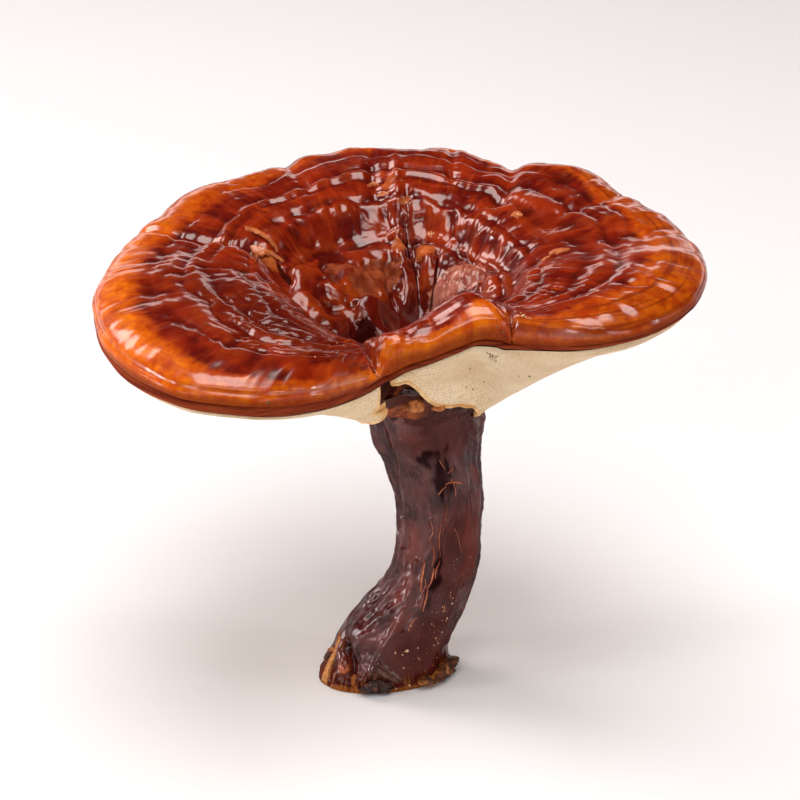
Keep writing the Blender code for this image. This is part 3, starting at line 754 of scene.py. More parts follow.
bark_black, place = new_material("bark black", specular=0.4)
cracked = place.cells(900, "DISTANCE_TO_EDGE").ease(0.0, 0.12)
cloudy = place.lumpy(600, 3, 0.6)
body = cloudy.ease(0.35, 0.65).mix((0.006, 0.004, 0.004), (0.060, 0.026, 0.020))
body = (cloudy.ease(0.58, 0.72) * 0.7).mix(body, (0.26, 0.08, 0.025))
finish_material(place, body, 0.32 + cloudy * 0.3, cracked, relief=0.15)
crumb = closed_scraps(scrap(CRUMB_ROWS, depth=0.9, thickness=1.7, ragged=4.0, curl=0.3, seed=4))
show("bark_crumb_skin", crumb, bark_black, replaces="bark_crumb")

torn_wood = grained(
    "torn wood", specular=0.25, grain=(600, 4, 0.65), blend=(0.3, 0.7), dark=(0.26, 0.085, 0.025),
    light=(0.68, 0.34, 0.11), rough=(0.55, 0.2), relief=0.20, stretch=(2.5, 2.5, 0.7))
splinter = closed_scraps(scrap(SPLINTER_ROWS, depth=0.5, thickness=0.5, ragged=1.2, curl=0.2, seed=5))
show("wood_splinter_skin", splinter, torn_wood, replaces="wood_splinter")

finger_red, place = new_material("finger red", specular=0.2, coat_ior=1.6)
tone = place.lumpy(300, 3, 0.6)
low_end = place.axis(2).ease(0.0085, 0.0045)
body = tone.ease(0.3, 0.7).mix((0.075, 0.009, 0.005), (0.190, 0.030, 0.014))
body = (low_end * (0.5 + tone)).mix(body, (0.50, 0.105, 0.012))
finish_material(place, body, 0.25 + tone * 0.15, tone, relief=0.08, lacquer=0.4 + tone * 0.6)
finger_line = [on_stem(*spot, FINGER_SINK) for spot in drawn_out(FINGER, FINGER_RINGS)]
finger_sizes = np.interp(np.linspace(0, 1, FINGER_RINGS), *np.array(FINGER_SIZES).T)
finger_sizes = finger_sizes * (1 + 0.12 * swelling(np.linspace(0, 9, FINGER_RINGS), 0, 4))
finger = strands([(finger_line, finger_sizes)], finger_red, sides=FINGER_SIDES)
show("foot_finger", finger, finger_red)

sliver_grey = grained(
    "sliver grey", specular=0.2, grain=(700, 3, 0.6), blend=(0.3, 0.7), dark=(0.060, 0.026, 0.020),
    light=(0.20, 0.11, 0.075), rough=(0.45, 0.2), relief=0.10)
sliver = closed_scraps(scrap(SLIVER_ROWS, depth=0.2, thickness=0.45, ragged=0.6, curl=0.9, seed=6))
show("foot_flakes", sliver, sliver_grey)
spur = closed_scraps(scrap(SPUR_ROWS, depth=0.6, thickness=1.0, ragged=0.5, curl=0.0, seed=8))
show("foot_spur", spur, bark_brown)


# The cap
# Tough flesh under a brittle crust that looks varnished: maroon in the funnel, amber at the
# margin. It grew outwards in bands, wrinkled as it dried, and curls into a roll at its rim.

CAP_CENTRE = (4.0, 2.0)
FUNNEL_FLOOR = 94.5

# Direction from the cap's centre, distance of the rim, height of the seam, height of the brown lip.
RIM = [
    (-168, 76.0, 111.5, 2.8), (-151, 80.2, 110.5, 3.2), (-140, 81.8, 109.8, 3.2),
    (-130, 80.9, 109.0, 3.0), (-122, 76.0, 108.0, 3.0), (-116, 70.8, 107.0, 3.0),
    (-109, 60.0, 105.0, 2.8), (-104, 49.5, 103.2, 2.6), (-99.5, 40.2, 101.6, 2.2),
    (-96, 36.4, 101.8, 2.2), (-87, 34.8, 104.0, 2.2), (-77, 35.6, 106.2, 2.2),
    (-68, 37.0, 108.5, 2.2), (-60, 38.4, 110.0, 2.0), (-53.5, 40.4, 109.4, 2.0),
    (-50, 41.6, 108.2, 1.8), (-46.5, 49.0, 109.6, 1.6), (-43, 57.0, 111.0, 1.6),
    (-36, 64.2, 112.0, 1.6), (-27, 70.3, 113.0, 1.6), (-15, 74.2, 113.8, 1.6),
    (-4, 75.2, 113.8, 1.6), (5, 75.0, 113.0, 1.6), (11, 74.0, 112.8, 1.6),
    (19, 73.2, 113.6, 1.6), (28, 71.2, 113.8, 1.6), (36, 70.6, 114.0, 1.8),
    (46, 73.0, 114.6, 1.8), (56, 69.4, 114.8, 1.8), (66, 64.6, 114.2, 1.8),
    (77, 67.2, 115.4, 1.8), (90, 65.6, 115.8, 1.8), (104, 66.6, 115.6, 2.0),
    (117, 66.4, 115.0, 2.0), (129, 66.0, 113.8, 2.0), (143, 69.6, 113.2, 2.2),
    (155, 69.2, 112.2, 2.4), (168, 70.6, 111.6, 2.6), (180, 72.4, 111.4, 2.8),
]

# The roll along the rim: direction, width and height above the seam.
ROLL = [
    (-150, 12.0, 7.5), (-125, 13.0, 7.2), (-108, 11.5, 6.0), (-100, 8.5, 4.4), (-96, 8.0, 4.4),
    (-90, 8.5, 5.4), (-77, 9.0, 7.0), (-64, 9.5, 8.0), (-54, 9.5, 8.6), (-49, 9.0, 8.0),
    (-45, 8.0, 6.0), (-20, 9.5, 6.0), (10, 9.0, 6.2), (50, 8.5, 6.6), (95, 8.0, 6.6),
    (140, 9.0, 6.6), (180, 10.5, 6.8),
]
ROLL_TURN = 104

# The shoulder where the plateau turns down into the funnel: direction, distance and height.
MOUTH = [
    (-160, 34.0, 115.0), (-135, 36.0, 113.0), (-116, 33.0, 109.5), (-105, 26.5, 106.0),
    (-97, 24.0, 106.0), (-88, 23.5, 108.2), (-76, 24.0, 111.8), (-64, 25.5, 115.0),
    (-53, 27.5, 115.4), (-44, 31.0, 114.0), (-25, 32.5, 114.8), (0, 31.0, 115.5),
    (40, 29.5, 116.5), (80, 35.0, 117.0), (110, 34.5, 117.0), (145, 35.0, 116.5),
    (175, 35.5, 115.8),
]
BACK_WALL = [(0.0, 0.0), (0.26, 0.10), (0.52, 0.44), (0.74, 0.62), (0.86, 0.70), (1.0, 0.96)]
FRONT_WALL = [(0.0, 0.0), (0.26, 0.14), (0.52, 0.45), (0.74, 0.68), (0.86, 0.82), (1.0, 0.96)]
BACK_WALL_FROM = -25
BACK_WALL_TO = 175
BACK_WALL_FADE = 25

# How many growth ridges there are, and how high they and the broad swellings stand.
RIDGES = 4
RIDGE_HEIGHT = 0.30
BAND_HEIGHT = 0.20
FINE_BAND_HEIGHT = 0.04
SWELLING_HEIGHT = 1.0
SWELLING_LENGTH = 13.0

# Lumps and the torn pit: middle, radius along and across, turn in degrees and height.
CAP_LUMPS = [
    (-19.0, 7.0, 6.0, 5.0, 20, 2.4),
    (-10.0, 17.5, 9.0, 4.0, 10, 1.4), (10.8, 20.0, 5.0, 3.5, 65, 1.6),
    (19.0, 11.0, 5.0, 4.0, 30, 1.6), (-31.5, 10.5, 4.5, 2.8, 150, -2.8),
    (0.5, -28.5, 4.5, 3.6, 100, 2.6), (-6.5, -13.0, 6.0, 5.0, 15, -5.0),
]
STEPPED_PATCH = (-26.0, -33.0, 20.0, 11.0, -30)

# Folds and clefts: points along it from the rim inwards, width and height. The first two part
# the front lobe from the left and the right one.
CAP_FOLDS = [
    ([(0.8, -38.0), (-4.2, -32.5), (-7.0, -25.0)], 1.0, -2.6),
    ([(4.6, -37.0), (0.2, -31.6), (-3.4, -27.0)], 3.0, 0.7),
    ([(30.4, -32.0), (30.2, -26.0), (27.5, -19.0)], 0.6, -2.6),
    ([(2.6, 56.0), (3.2, 36.0), (4.6, 24.0), (6.2, 13.0)], 1.3, 1.0),
    ([(5.6, 41.0), (6.0, 30.0), (8.6, 22.0), (9.0, 11.0)], 1.2, -1.1),
    ([(-68.0, 22.0), (-50.0, 13.5), (-35.0, 11.0)], 1.8, -1.5),
    ([(33.5, 58.0), (32.0, 45.0), (29.0, 34.0)], 2.4, -1.8),
    ([(17.6, 62.0), (17.0, 46.0)], 1.5, -1.0), ([(-4.0, 60.0), (-2.6, 40.0)], 1.5, -1.0),
    ([(-27.0, 60.0), (-20.0, 40.0)], 2.2, -1.2), ([(64.0, 40.0), (44.0, 26.0)], 2.2, -1.2),
]

# Smaller lumps and folds of the funnel, which the solid model leaves out.
FUNNEL_LUMPS = [
    (10.2, 22.5, 2.3, 5.0, 15, 1.2), (27.5, 6.0, 3.6, 6.0, 20, 1.2), (-10.0, -27.0, 7.0, 4.0, 10, -2.6),
]
# Knobs with steep sides: middle, radius along and across, turn in degrees and height.
KNOBS = [
    (-18.0, 4.5, 8.0, 6.5, 35, 2.0), (-4.5, 8.0, 12.0, 9.0, 10, 5.5), (-1.0, 0.5, 7.5, 6.5, 0, 4.2),
    (4.0, -29.5, 7.5, 5.0, 15, 1.6), (1.3, -32.4, 4.2, 3.2, 30, 1.0),
]
FUNNEL_FOLDS = [
    ([(-27.0, 13.0), (-24.8, 7.0), (-23.0, 2.0)], 1.1, -1.3),
    ([(3.4, 36.0), (2.4, 30.0), (4.0, 21.0), (5.6, 12.0)], 1.5, 1.2),
    ([(13.6, 25.0), (13.2, 18.0), (11.4, 12.0), (8.8, 6.0)], 1.2, -1.0),
    ([(-27.0, 7.0), (-23.5, -3.0), (-17.0, -8.5), (-10.0, -12.0), (-5.0, -13.0)], 2.4, -2.2),
    ([(-12.5, 15.0), (-11.0, 8.0), (-8.0, 2.0)], 1.0, -1.0),
    ([(0.4, 23.0), (0.8, 15.0), (2.6, 8.0)], 0.9, -1.2),
    ([(-9.0, 7.0), (-4.0, 7.4), (1.0, 6.5)], 1.0, -1.0),
    ([(-20.0, 13.0), (-10.0, 20.0), (0.0, 21.0)], 1.2, -0.8),
    ([(14.5, 16.5), (15.7, 13.0), (14.4, 8.0)], 0.4, -0.5),
    ([(20.5, 17.0), (19.2, 12.0), (20.0, 8.0)], 0.4, -0.5),
    ([(22.0, 18.0), (25.0, 13.0), (24.0, 6.0)], 1.0, -1.0),
    ([(-15.5, 8.0), (-14.0, 2.0), (-12.0, -3.0)], 1.0, -0.7),
]

CAP_SIDES = 560
FUNNEL_RINGS = 58
PLATEAU_RINGS = 64
ROLL_RINGS = 26

# The brown lip below the seam: how far it stands back from the rim, at shares of its height.
BROWN_LIP = [
    (0.45, 0.015), (1.15, 0.05), (1.2, 0.09), (0.85, 0.17), (0.66, 0.3), (0.56, 0.45),
    (0.60, 0.62), (0.80, 0.78), (1.15, 0.90), (1.7, 0.98),
]

# How the margin is coloured: direction, how far in the amber is full, how far in it ends, and
# how light it is.
AMBER = [
    (-180, 5.0, 15.0, 0.9), (-150, 5.0, 14.0, 0.85), (-132, 3.5, 11.0, 0.75), (-120, 1.6, 7.0, 0.55),
    (-108, 0.6, 4.5, 0.40), (-103, 0.4, 3.5, 0.4), (-97, 1.0, 4.5, 0.70), (-85, 0.4, 2.4, 0.75),
    (-72, 0.5, 2.6, 0.75), (-62, 2.2, 5.0, 0.85), (-54, 4.5, 8.0, 0.85), (-49, 3.5, 7.0, 0.3),
    (-30, 8.0, 18.0, 0.3), (-5, 9.0, 19.0, 0.35), (20, 7.0, 16.0, 0.3), (50, 5.0, 12.0, 0.35),
    (80, 2.0, 8.0, 0.2), (110, 2.5, 9.0, 0.25), (135, 4.0, 18.0, 0.40), (160, 4.0, 18.0, 0.65),
]

# Patches of colour: middle, radius along and across, and turn in degrees. The dark one lies at
# the front left, beside the dark hollow of the funnel, and is painted shade like the hollow's.
MATTE_PATCHES = [(-1.5, 19.5, 7.0, 4.0, 25), (-5.0, 11.5, 4.0, 4.5, 0), (-11.0, 17.0, 4.5, 2.5, 20)]
ROSE_PATCHES = [(16.5, 12.8, 6.0, 5.5, 10), (22.0, 12.5, 3.5, 4.5, 0)]
TAWNY_PATCHES = [
    (3.4, 27.5, 3.0, 2.2, 80), (10.2, 26.0, 2.6, 3.6, 20), (1.0, 44.0, 3.5, 1.6, 70),
    (-29.5, 11.0, 4.5, 2.0, 150),
]
FRONT_LEFT_SHADE_PATCH = (-27.0, -28.0, 27.0, 13.0, -38)

# Dark lines in the crust: points along each, its width, and how dark it is. Most are painted shade
# in clefts, creases and the funnel's deepest hole; the two across the rose patch are real cracks.
CRACKS_AND_CREVICE_SHADE = [
    ([(1.0, -38.2), (-4.2, -32.5), (-7.0, -27.0)], 0.3, 0.6),
    ([(30.4, -31.5), (30.2, -26.0), (28.5, -21.0)], 0.35, 0.7),
    ([(5.4, 33.0), (6.0, 28.0), (7.6, 21.0), (8.6, 14.0)], 0.4, 0.6),
    ([(-26.6, 11.5), (-24.8, 7.0), (-23.4, 3.0)], 0.9, 0.8), ([(-5.5, -9.0), (-4.5, -4.0)], 2.6, 1.0),
    ([(14.5, 16.5), (15.7, 13.0), (14.4, 8.0)], 0.3, 0.5),
    ([(20.5, 17.0), (19.2, 12.0), (20.0, 8.0)], 0.3, 0.5),
    ([(13.4, 23.0), (12.6, 16.0), (9.6, 8.0)], 0.6, 0.6),
]

# How wrinkled the crust is: direction, coarse wrinkles and fine ones.
WRINKLED = [
    (-180, 0.8, 0.9), (-150, 0.9, 1.0), (-120, 1.0, 1.0), (-104, 0.8, 0.8), (-92, 0.3, 0.1),
    (-60, 0.3, 0.1), (-46, 0.8, 0.9), (-20, 1.0, 1.0), (20, 1.0, 1.0), (60, 0.6, 0.7),
    (90, 0.4, 0.5), (120, 0.45, 0.5), (150, 0.7, 0.8),
]

# How high each kind of relief stands on the crust: on the plateau, in the funnel, on the roll.
WRINKLE_HEIGHT = 0.26
CRINKLE_HEIGHT = 0.24
FINE_WRINKLE_HEIGHT = 0.10
DENT_HEIGHT = 0.28
STEP_HEIGHT = 0.9
SCALE_HEIGHT = 0.12
WALL_FOLD_HEIGHT = 0.7
KNOT_HEIGHT = 1.2
SMALL_KNOT_HEIGHT = 0.50
FUNNEL_CREASE_HEIGHT = 0.20
TERRACE_HEIGHT = 0.40
LOBE_LINE_HEIGHT = 0.10
ROLL_SWELLING_HEIGHT = 0.75
ROLL_RIB_HEIGHT = 0.07
ROLL_DENT_HEIGHT = 0.22
GROOVE_DEPTH = 0.45


def round_the_cap(table, column, directions):
    """A column of a table of directions, read at any direction as a closed smooth curve."""
    rows = sorted(table)
    x = np.array([row[0] + turn for turn in (-360, 0, 360) for row in rows], float)
    y = np.array([row[column] for row in rows] * 3, float)
    return smooth(x[None], y[None], np.asarray(directions, float)[None])[0]


def cap_directions(count):
    """Directions round the cap, closer together where the photograph looks straight at it."""
    fine = np.linspace(-180, 180, 1441)
    density = 0.8 + 0.5 * np.abs(np.sin(np.radians(fine)))
    density += 0.35 * ease(-fine, 0, 60) * ease(fine, -180, -140)
    density += 1.2 * np.exp(-((fine + 102) / 12) ** 2) + 1.0 * np.exp(-((fine + 50) / 7) ** 2)
    share = np.concatenate([[0], np.cumsum((density[1:] + density[:-1]) / 2)])
    return np.interp(np.arange(count) / count, share / share[-1], fine)


def lump(x, y, middle_x, middle_y, along, across, turn, height):
    """A rounded lump, or a pit where the height is negative."""
    angle = math.radians(turn)
    u = (x - middle_x) * math.cos(angle) + (y - middle_y) * math.sin(angle)
    v = (y - middle_y) * math.cos(angle) - (x - middle_x) * math.sin(angle)
    return height * np.exp(-(u / along) ** 2 - (v / across) ** 2)


def place_round(centre, r, directions):
    """Plan positions at distances r from a centre, one row for each direction."""
    angle = np.radians(directions)[:, None]
    return centre[0] + r * np.cos(angle), centre[1] + r * np.sin(angle)


def knob(x, y, *sizes):
    """A knob with a rounded top and steep sides."""
    *middle_and_radii, height = sizes
    return height * ease(lump(x, y, *middle_and_radii, 1.0), 0.15, 0.80)


cap_turns = cap_directions(CAP_SIDES)
rim = round_the_cap(RIM, 1, cap_turns)
seam = round_the_cap(RIM, 2, cap_turns)
lip = round_the_cap(RIM, 3, cap_turns)
roll_width = round_the_cap(ROLL, 1, cap_turns)
roll_height = round_the_cap(ROLL, 2, cap_turns)
mouth = round_the_cap(MOUTH, 1, cap_turns)
shoulder = round_the_cap(MOUTH, 2, cap_turns)
crest = rim - roll_width
brow = seam + roll_height

# The section of the cap in every direction: funnel wall, plateau, then the roll down to the seam.
back = (ease(cap_turns, BACK_WALL_FROM - BACK_WALL_FADE, BACK_WALL_FROM + BACK_WALL_FADE)
        * (1 - ease(cap_turns, BACK_WALL_TO - BACK_WALL_FADE, 180)))
knots = [(-0.26 * mouth, FUNNEL_FLOOR + 0.1 * (shoulder - FUNNEL_FLOOR))]
for (share, deep), (_, plain) in zip(BACK_WALL, FRONT_WALL):
    level = back * deep + (1 - back) * plain
    knots.append((share * mouth, FUNNEL_FLOOR + level * (shoulder - FUNNEL_FLOOR)))
knots.append((mouth + 0.18 * (crest - mouth), shoulder + 0.35 * (brow - shoulder)))
knots.append((crest, brow))
knots.append((rim, seam))
knots_x = np.stack([knot[0] for knot in knots], axis=1)
knots_y = np.stack([knot[1] for knot in knots], axis=1)
wall = (np.arange(FUNNEL_RINGS) + 0.5) / FUNNEL_RINGS
plateau = np.arange(0, PLATEAU_RINGS + 1) / PLATEAU_RINGS
r = np.concatenate([mouth[:, None] * wall, mouth[:, None] + (crest - mouth)[:, None] * plateau], axis=1)
z = smooth(knots_x, knots_y, r)
turns = np.arange(1, ROLL_RINGS + 1) / ROLL_RINGS * math.radians(ROLL_TURN)
fall = (np.cos(turns) - math.cos(turns[-1])) / (1 - math.cos(turns[-1]))
r = np.concatenate([r, crest[:, None] + roll_width[:, None] * np.sin(turns)], axis=1)
on_lobe = (ease(cap_turns, -99, -93) * (1 - ease(cap_turns, -54, -48)))[:, None]
z = np.concatenate([z, seam[:, None] + roll_height[:, None] * fall ** (1 - 0.4 * on_lobe)], axis=1)
band = np.concatenate([wall, 1 + plateau, 2 + turns / turns[-1]])[None] + 0 * r
inwards = rim[:, None] - r
x, y = place_round(CAP_CENTRE, r, cap_turns)
cap_angle = np.radians(cap_turns)[:, None] + 0 * r
round_x, round_y = np.cos(cap_angle), np.sin(cap_angle)

# Growth bands: broad ridges with narrow grooves, which wander a little, and finer ones on them.
on_plateau = np.clip(band - 1, 0, 1)
wander = 0.35 * swelling(2.2 * round_x, 2.2 * round_y, on_plateau * 2.5)
wander += 0.16 * swelling(9 * round_x, 9 * round_y, on_plateau * 4)
broad = ease(crest - mouth, 5, 26)[:, None] * (1 - on_plateau ** 6) * ease(band, 0.9, 1.1)
phase = RIDGES * on_plateau + wander
ridges = RIDGE_HEIGHT * np.cos(math.tau * phase)
ridges += BAND_HEIGHT * np.cos(math.tau * (1.5 * phase + 0.5 * wander))
uneven = 1 + 0.9 * swelling(3.1 * round_x, 3.1 * round_y, band * 2.2)
ridges += FINE_BAND_HEIGHT * uneven * np.cos(math.tau * (3.6 * phase + wander))

soft = sum(lump(x, y, *row) for row in CAP_LUMPS + FUNNEL_LUMPS)
soft += sum(fold(x, y, *row) for row in CAP_FOLDS + FUNNEL_FOLDS)
soft += sum(knob(x, y, *row) for row in KNOBS)
swell = swelling(x, y, z, SWELLING_LENGTH) * ease(inwards, 0, 9)
z = z + broad * ridges
soft *= np.where(band > 2, ease(z - seam[:, None], 0, 3.5), 1.0)
z = z + (soft + SWELLING_HEIGHT * swell) * ease(r, 0, 6)
cap_points = np.stack([x, y, z], axis=-1)
cap_out = -outwards(cap_points)

# Wrinkles that run from the funnel to the rim, coarse and fine.
coarse = round_the_cap(WRINKLED, 1, cap_turns)[:, None]
fine = round_the_cap(WRINKLED, 2, cap_turns)[:, None]
patchy = 0.8 + 0.9 * swelling(2.4 * round_x, 2.4 * round_y, inwards / 16 + 3)
along = 0.9 * phase + 0.12 * np.sin(math.tau * phase)
radial = swelling(20 * round_x + wander, 20 * round_y, along)
crinkled = creases(swelling(16 * round_x + 5, 16 * round_y + 2 * wander, 0.8 * along))
radial_fine = swelling(46 * round_x, 46 * round_y + wander, 2 * along)
on_top = ease(band, 0.97, 1.2) * (1 - ease(band, 2.2, 2.8))
reach = np.clip(r / 60, 0.25, 1.1)
wrinkles = (WRINKLE_HEIGHT * radial + CRINKLE_HEIGHT * crinkled) * coarse * patchy
wrinkles += FINE_WRINKLE_HEIGHT * radial_fine * fine * ease(r, 26, 52)
wrinkles = wrinkles * reach + DENT_HEIGHT * swelling(x, y, z + 50, 7.5) * coarse

# Front left, the crust stands in ragged steps with their steep sides outwards.
stepped = lump(x, y, *STEPPED_PATCH, 1.0)
step = inwards / 5.2 + 0.9 * swelling(x / 6.5, y / 6.5, 0) + 0.16 * swelling(x / 2.4, y / 2.4, 3)
step = step - np.floor(step)
steps = ease(step, 0, 0.24) * (1 - step) ** 0.8
scales = swelling(x / 2.0, y / 1.4, z / 3)
stepping = STEP_HEIGHT * steps + SCALE_HEIGHT * scales
wrinkles = (wrinkles * (1 - 0.5 * stepped) + stepped * stepping) * on_top

# The funnel's wall is folded lengthwise and lumpy, and its floor is a knot of lumps.
in_funnel = ease(r, 3, 12) * (1 - ease(band, 0.95, 1.2))
on_wall = ease(band, 0.74, 0.86) * (1 - ease(band, 1.05, 1.25)) * back[:, None]
wall_folds = swelling(9 * round_x + 3, 9 * round_y, band * 6)
wall_folds += 0.5 * swelling(15 * round_x, 15 * round_y, band * 12)
folded = 0.25 + 0.75 * ease(-np.abs((cap_turns[:, None] - 72 + 180) % 360 - 180), -42, -24)
wrinkles += WALL_FOLD_HEIGHT * on_wall * wall_folds * folded
lumpy = KNOT_HEIGHT * swelling(x, y, z, 6.0) + SMALL_KNOT_HEIGHT * swelling(x + 30, y, z, 3.0)
wrinkles += in_funnel * lumpy * (1 - 0.6 * ease(band, 0.6, 0.9))
wrinkles += FUNNEL_CREASE_HEIGHT * in_funnel * creases(swelling(x, y + 40, z * 0.6, 3.2), 0.15)
terrace = np.exp(-((band - 0.85 - 0.02 * wander) / 0.025) ** 2) - np.exp(-((band - 0.80) / 0.03) ** 2)
wrinkles += TERRACE_HEIGHT * back[:, None] * terrace

# The roll is smooth below and finely ribbed above, with a thin groove along its lower part.
on_roll = ease(band, 2.0, 2.3) * (1 - ease(band, 2.92, 3.0)) * (1 - 0.75 * on_lobe)
lobe_lines = np.cos(math.tau * (inwards / 1.5 + 0.5 * swelling(6 * round_x, 6 * round_y, inwards / 7)))
wrinkles += LOBE_LINE_HEIGHT * on_lobe * on_top * lobe_lines
roll_swelling = swelling(7 * round_x, 7 * round_y, band * 1.7)
wrinkles += on_roll * (ROLL_SWELLING_HEIGHT * roll_swelling + ROLL_RIB_HEIGHT * radial_fine)
wrinkles += on_roll * ROLL_DENT_HEIGHT * swelling(19 * round_x, 19 * round_y, band * 2.6)
groove_line = 2.70 + 0.05 * swelling(3 * round_x, 3 * round_y, 0)
grooved = ease(-np.abs((cap_turns[:, None] + 150 + 180) % 360 - 180), -60, -30)
wrinkles -= GROOVE_DEPTH * grooved * np.exp(-((band - groove_line) / 0.035) ** 2)
upper_points = cap_points + cap_out * wrinkles[..., None]

# The brown lip and the underside, which the pore layer covers but for the gap below the notch.
SEAT_CENTRE = (10.4, 0.0)
SEAT_RADIUS = 15.6
SEAT_HEIGHT = 82.2
UNDERSIDE_BEND = [(-130, 1.5), (-97, 1.2), (-70, 1.1), (-45, 1.2), (0, 1.4), (90, 1.6), (180, 1.5)]
LIP_INSET = 2.4
UNDER_RINGS = 16
NOTCH_HOLE = (1.6, -27.3, 2.4, 1.3, 25)
NOTCH_HOLE_DEPTH = 3.0
LIP_WAVE_HEIGHT = 0.12
INSIDE_BOX = 0.02


def underside(directions, shares):
    """The cap's lower surface from the seat on the stem (share 0) to the lip (share 1)."""
    rim = round_the_cap(RIM, 1, directions)
    lip = round_the_cap(RIM, 2, directions) - round_the_cap(RIM, 3, directions) - 0.2
    bend = round_the_cap(UNDERSIDE_BEND, 1, directions)[:, None]
    inner_x, inner_y = place_round(SEAT_CENTRE, np.full((len(directions), 1), SEAT_RADIUS), directions)
    outer_x, outer_y = place_round(CAP_CENTRE, (rim - LIP_INSET)[:, None], directions)
    x = inner_x + (outer_x - inner_x) * shares
    y = inner_y + (outer_y - inner_y) * shares
    rise = 1 - (1 - np.asarray(shares)) ** bend
    return np.stack([x, y, SEAT_HEIGHT + (lip[:, None] - SEAT_HEIGHT) * rise], axis=-1)


lip_rings = []
for inset, share in BROWN_LIP:
    lip_x, lip_y = place_round(CAP_CENTRE, (rim - inset)[:, None], cap_turns)
    lip_z = upper_points[:, -1:, 2] - share * lip[:, None]
    lip_rings.append(np.stack([lip_x, lip_y, lip_z], axis=-1))
lip_points = np.concatenate(lip_rings, axis=1)
lip_wave = swelling(20 * round_x[:, :1], 20 * round_y[:, :1], np.arange(len(BROWN_LIP))[None] / 3)
lip_points -= outwards(lip_points) * (LIP_WAVE_HEIGHT * lip_wave)[..., None]
under_points = underside(cap_turns, np.linspace(1, 0, UNDER_RINGS) ** 1.3)
hole = lump(under_points[..., 0], under_points[..., 1], *NOTCH_HOLE, 1.0)
under_points[..., 2] += NOTCH_HOLE_DEPTH * hole
cap_all = np.concatenate([upper_points, lip_points, under_points], axis=1)
low, high = [np.array(corner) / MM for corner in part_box("cap")]
cap_all = np.clip(cap_all, low + INSIDE_BOX, high - INSIDE_BOX)

lip_band = np.linspace(3.05, 4, len(BROWN_LIP))[None] + np.zeros((CAP_SIDES, 1))
under_band = np.linspace(4.1, 5, UNDER_RINGS)[None] + np.zeros((CAP_SIDES, 1))
all_band = np.concatenate([band, lip_band, under_band], axis=1)
all_inwards = np.concatenate([inwards, 0 * lip_band, 0 * under_band], axis=1)
all_x, all_y, all_z = cap_all[..., 0], cap_all[..., 1], cap_all[..., 2]
all_angle = np.radians(cap_turns)[:, None] + 0 * all_band
start, end, light = [round_the_cap(AMBER, column, cap_turns)[:, None] for column in (1, 2, 3)]
amber = 1 - ease(all_inwards, start, end)


def cap_patch(rows):
    """How far places on the cap lie in any of a few oval patches."""
    inside = 0 * all_x
    for row in rows:
        inside = np.maximum(inside, lump(all_x, all_y, *row, 1.0))
    return inside


matte, rose, tawny, dark = [
    cap_patch(rows) for rows in (MATTE_PATCHES, ROSE_PATCHES, TAWNY_PATCHES, [FRONT_LEFT_SHADE_PATCH])]
# Painted shade: the crust darkens low in the funnel and over the dark patch at the front left.
hollow = np.maximum(1 - ease(all_z, 99.0, 112.5), dark)
upper_side = 1 - ease(all_band, 2.0, 2.2)
closing = np.zeros((CAP_SIDES, all_band.shape[1] - band.shape[1]))
raised = np.concatenate([np.clip(0.5 + wrinkles + 0.5 * broad * ridges, 0, 1), closing + 0.5], axis=1)
# Painted shade along clefts, creases and the funnel's deepest hole, and the dark of a few real cracks.
cracks_and_crevice_shade = sum(fold(x, y, *row) for row in CRACKS_AND_CREVICE_SHADE) * (1 - ease(band, 2.9, 2.98))
cracks_and_crevice_shade = np.concatenate([cracks_and_crevice_shade, closing], axis=1)
# Painted shade: the underside is painted dark in the hole below the notch.
cracks_and_crevice_shade[:, -UNDER_RINGS:] = hole
marks = {
    "amber": amber, "light": light + 0 * amber, "band": all_band, "raised": raised, "crack_and_crevice_shade": cracks_and_crevice_shade,
    "matte": matte * upper_side, "rose": rose * upper_side, "tawny": tawny * upper_side,
    "hollow": hollow * upper_side,
    "growth": np.stack([np.cos(all_angle), np.sin(all_angle), all_inwards / 10], axis=-1),
}
cap_mesh = skin(cap_all, marks)

cap_crust, place = new_material("cap lacquer", specular=0.02, coat_roughness=0.18, coat_ior=1.62)
growth = place.mark("growth", vector=True)
band_wire = place.mark("band")
outer = band_wire.ease(0.45, 0.85)
cloudy = place.lumpy(110, 3, 0.55)
blotchy = place.lumpy(300, 4, 0.6)
streaky = growth.stretched(30, 30, 1.4).lumpy(1, 3, 0.6) * outer + cloudy * (1 - outer)
raised = place.mark("raised")
matte, rose, tawny = [place.ragged(name) for name in ("matte", "rose", "tawny")]
amber_edge = place.mark("amber") + streaky * 0.8 - 0.40 + cloudy * 0.6 - 0.30
maroon = cloudy.ease(0.35, 0.68).mix((0.115, 0.0030, 0.0004), (0.260, 0.0180, 0.0013))
maroon = (streaky.ease(0.45, 0.8) * 0.6).mix(maroon, (0.36, 0.045, 0.003))
# Lighter on the crests of the relief; its grooves are darkened as painted shade.
maroon = (raised.ease(0.5, 0.9) * 0.30).mix(maroon, (0.34, 0.050, 0.006))
maroon = ((1 - raised).ease(0.45, 0.80) * 0.75).mix(maroon, (0.055, 0.0012, 0.0003))
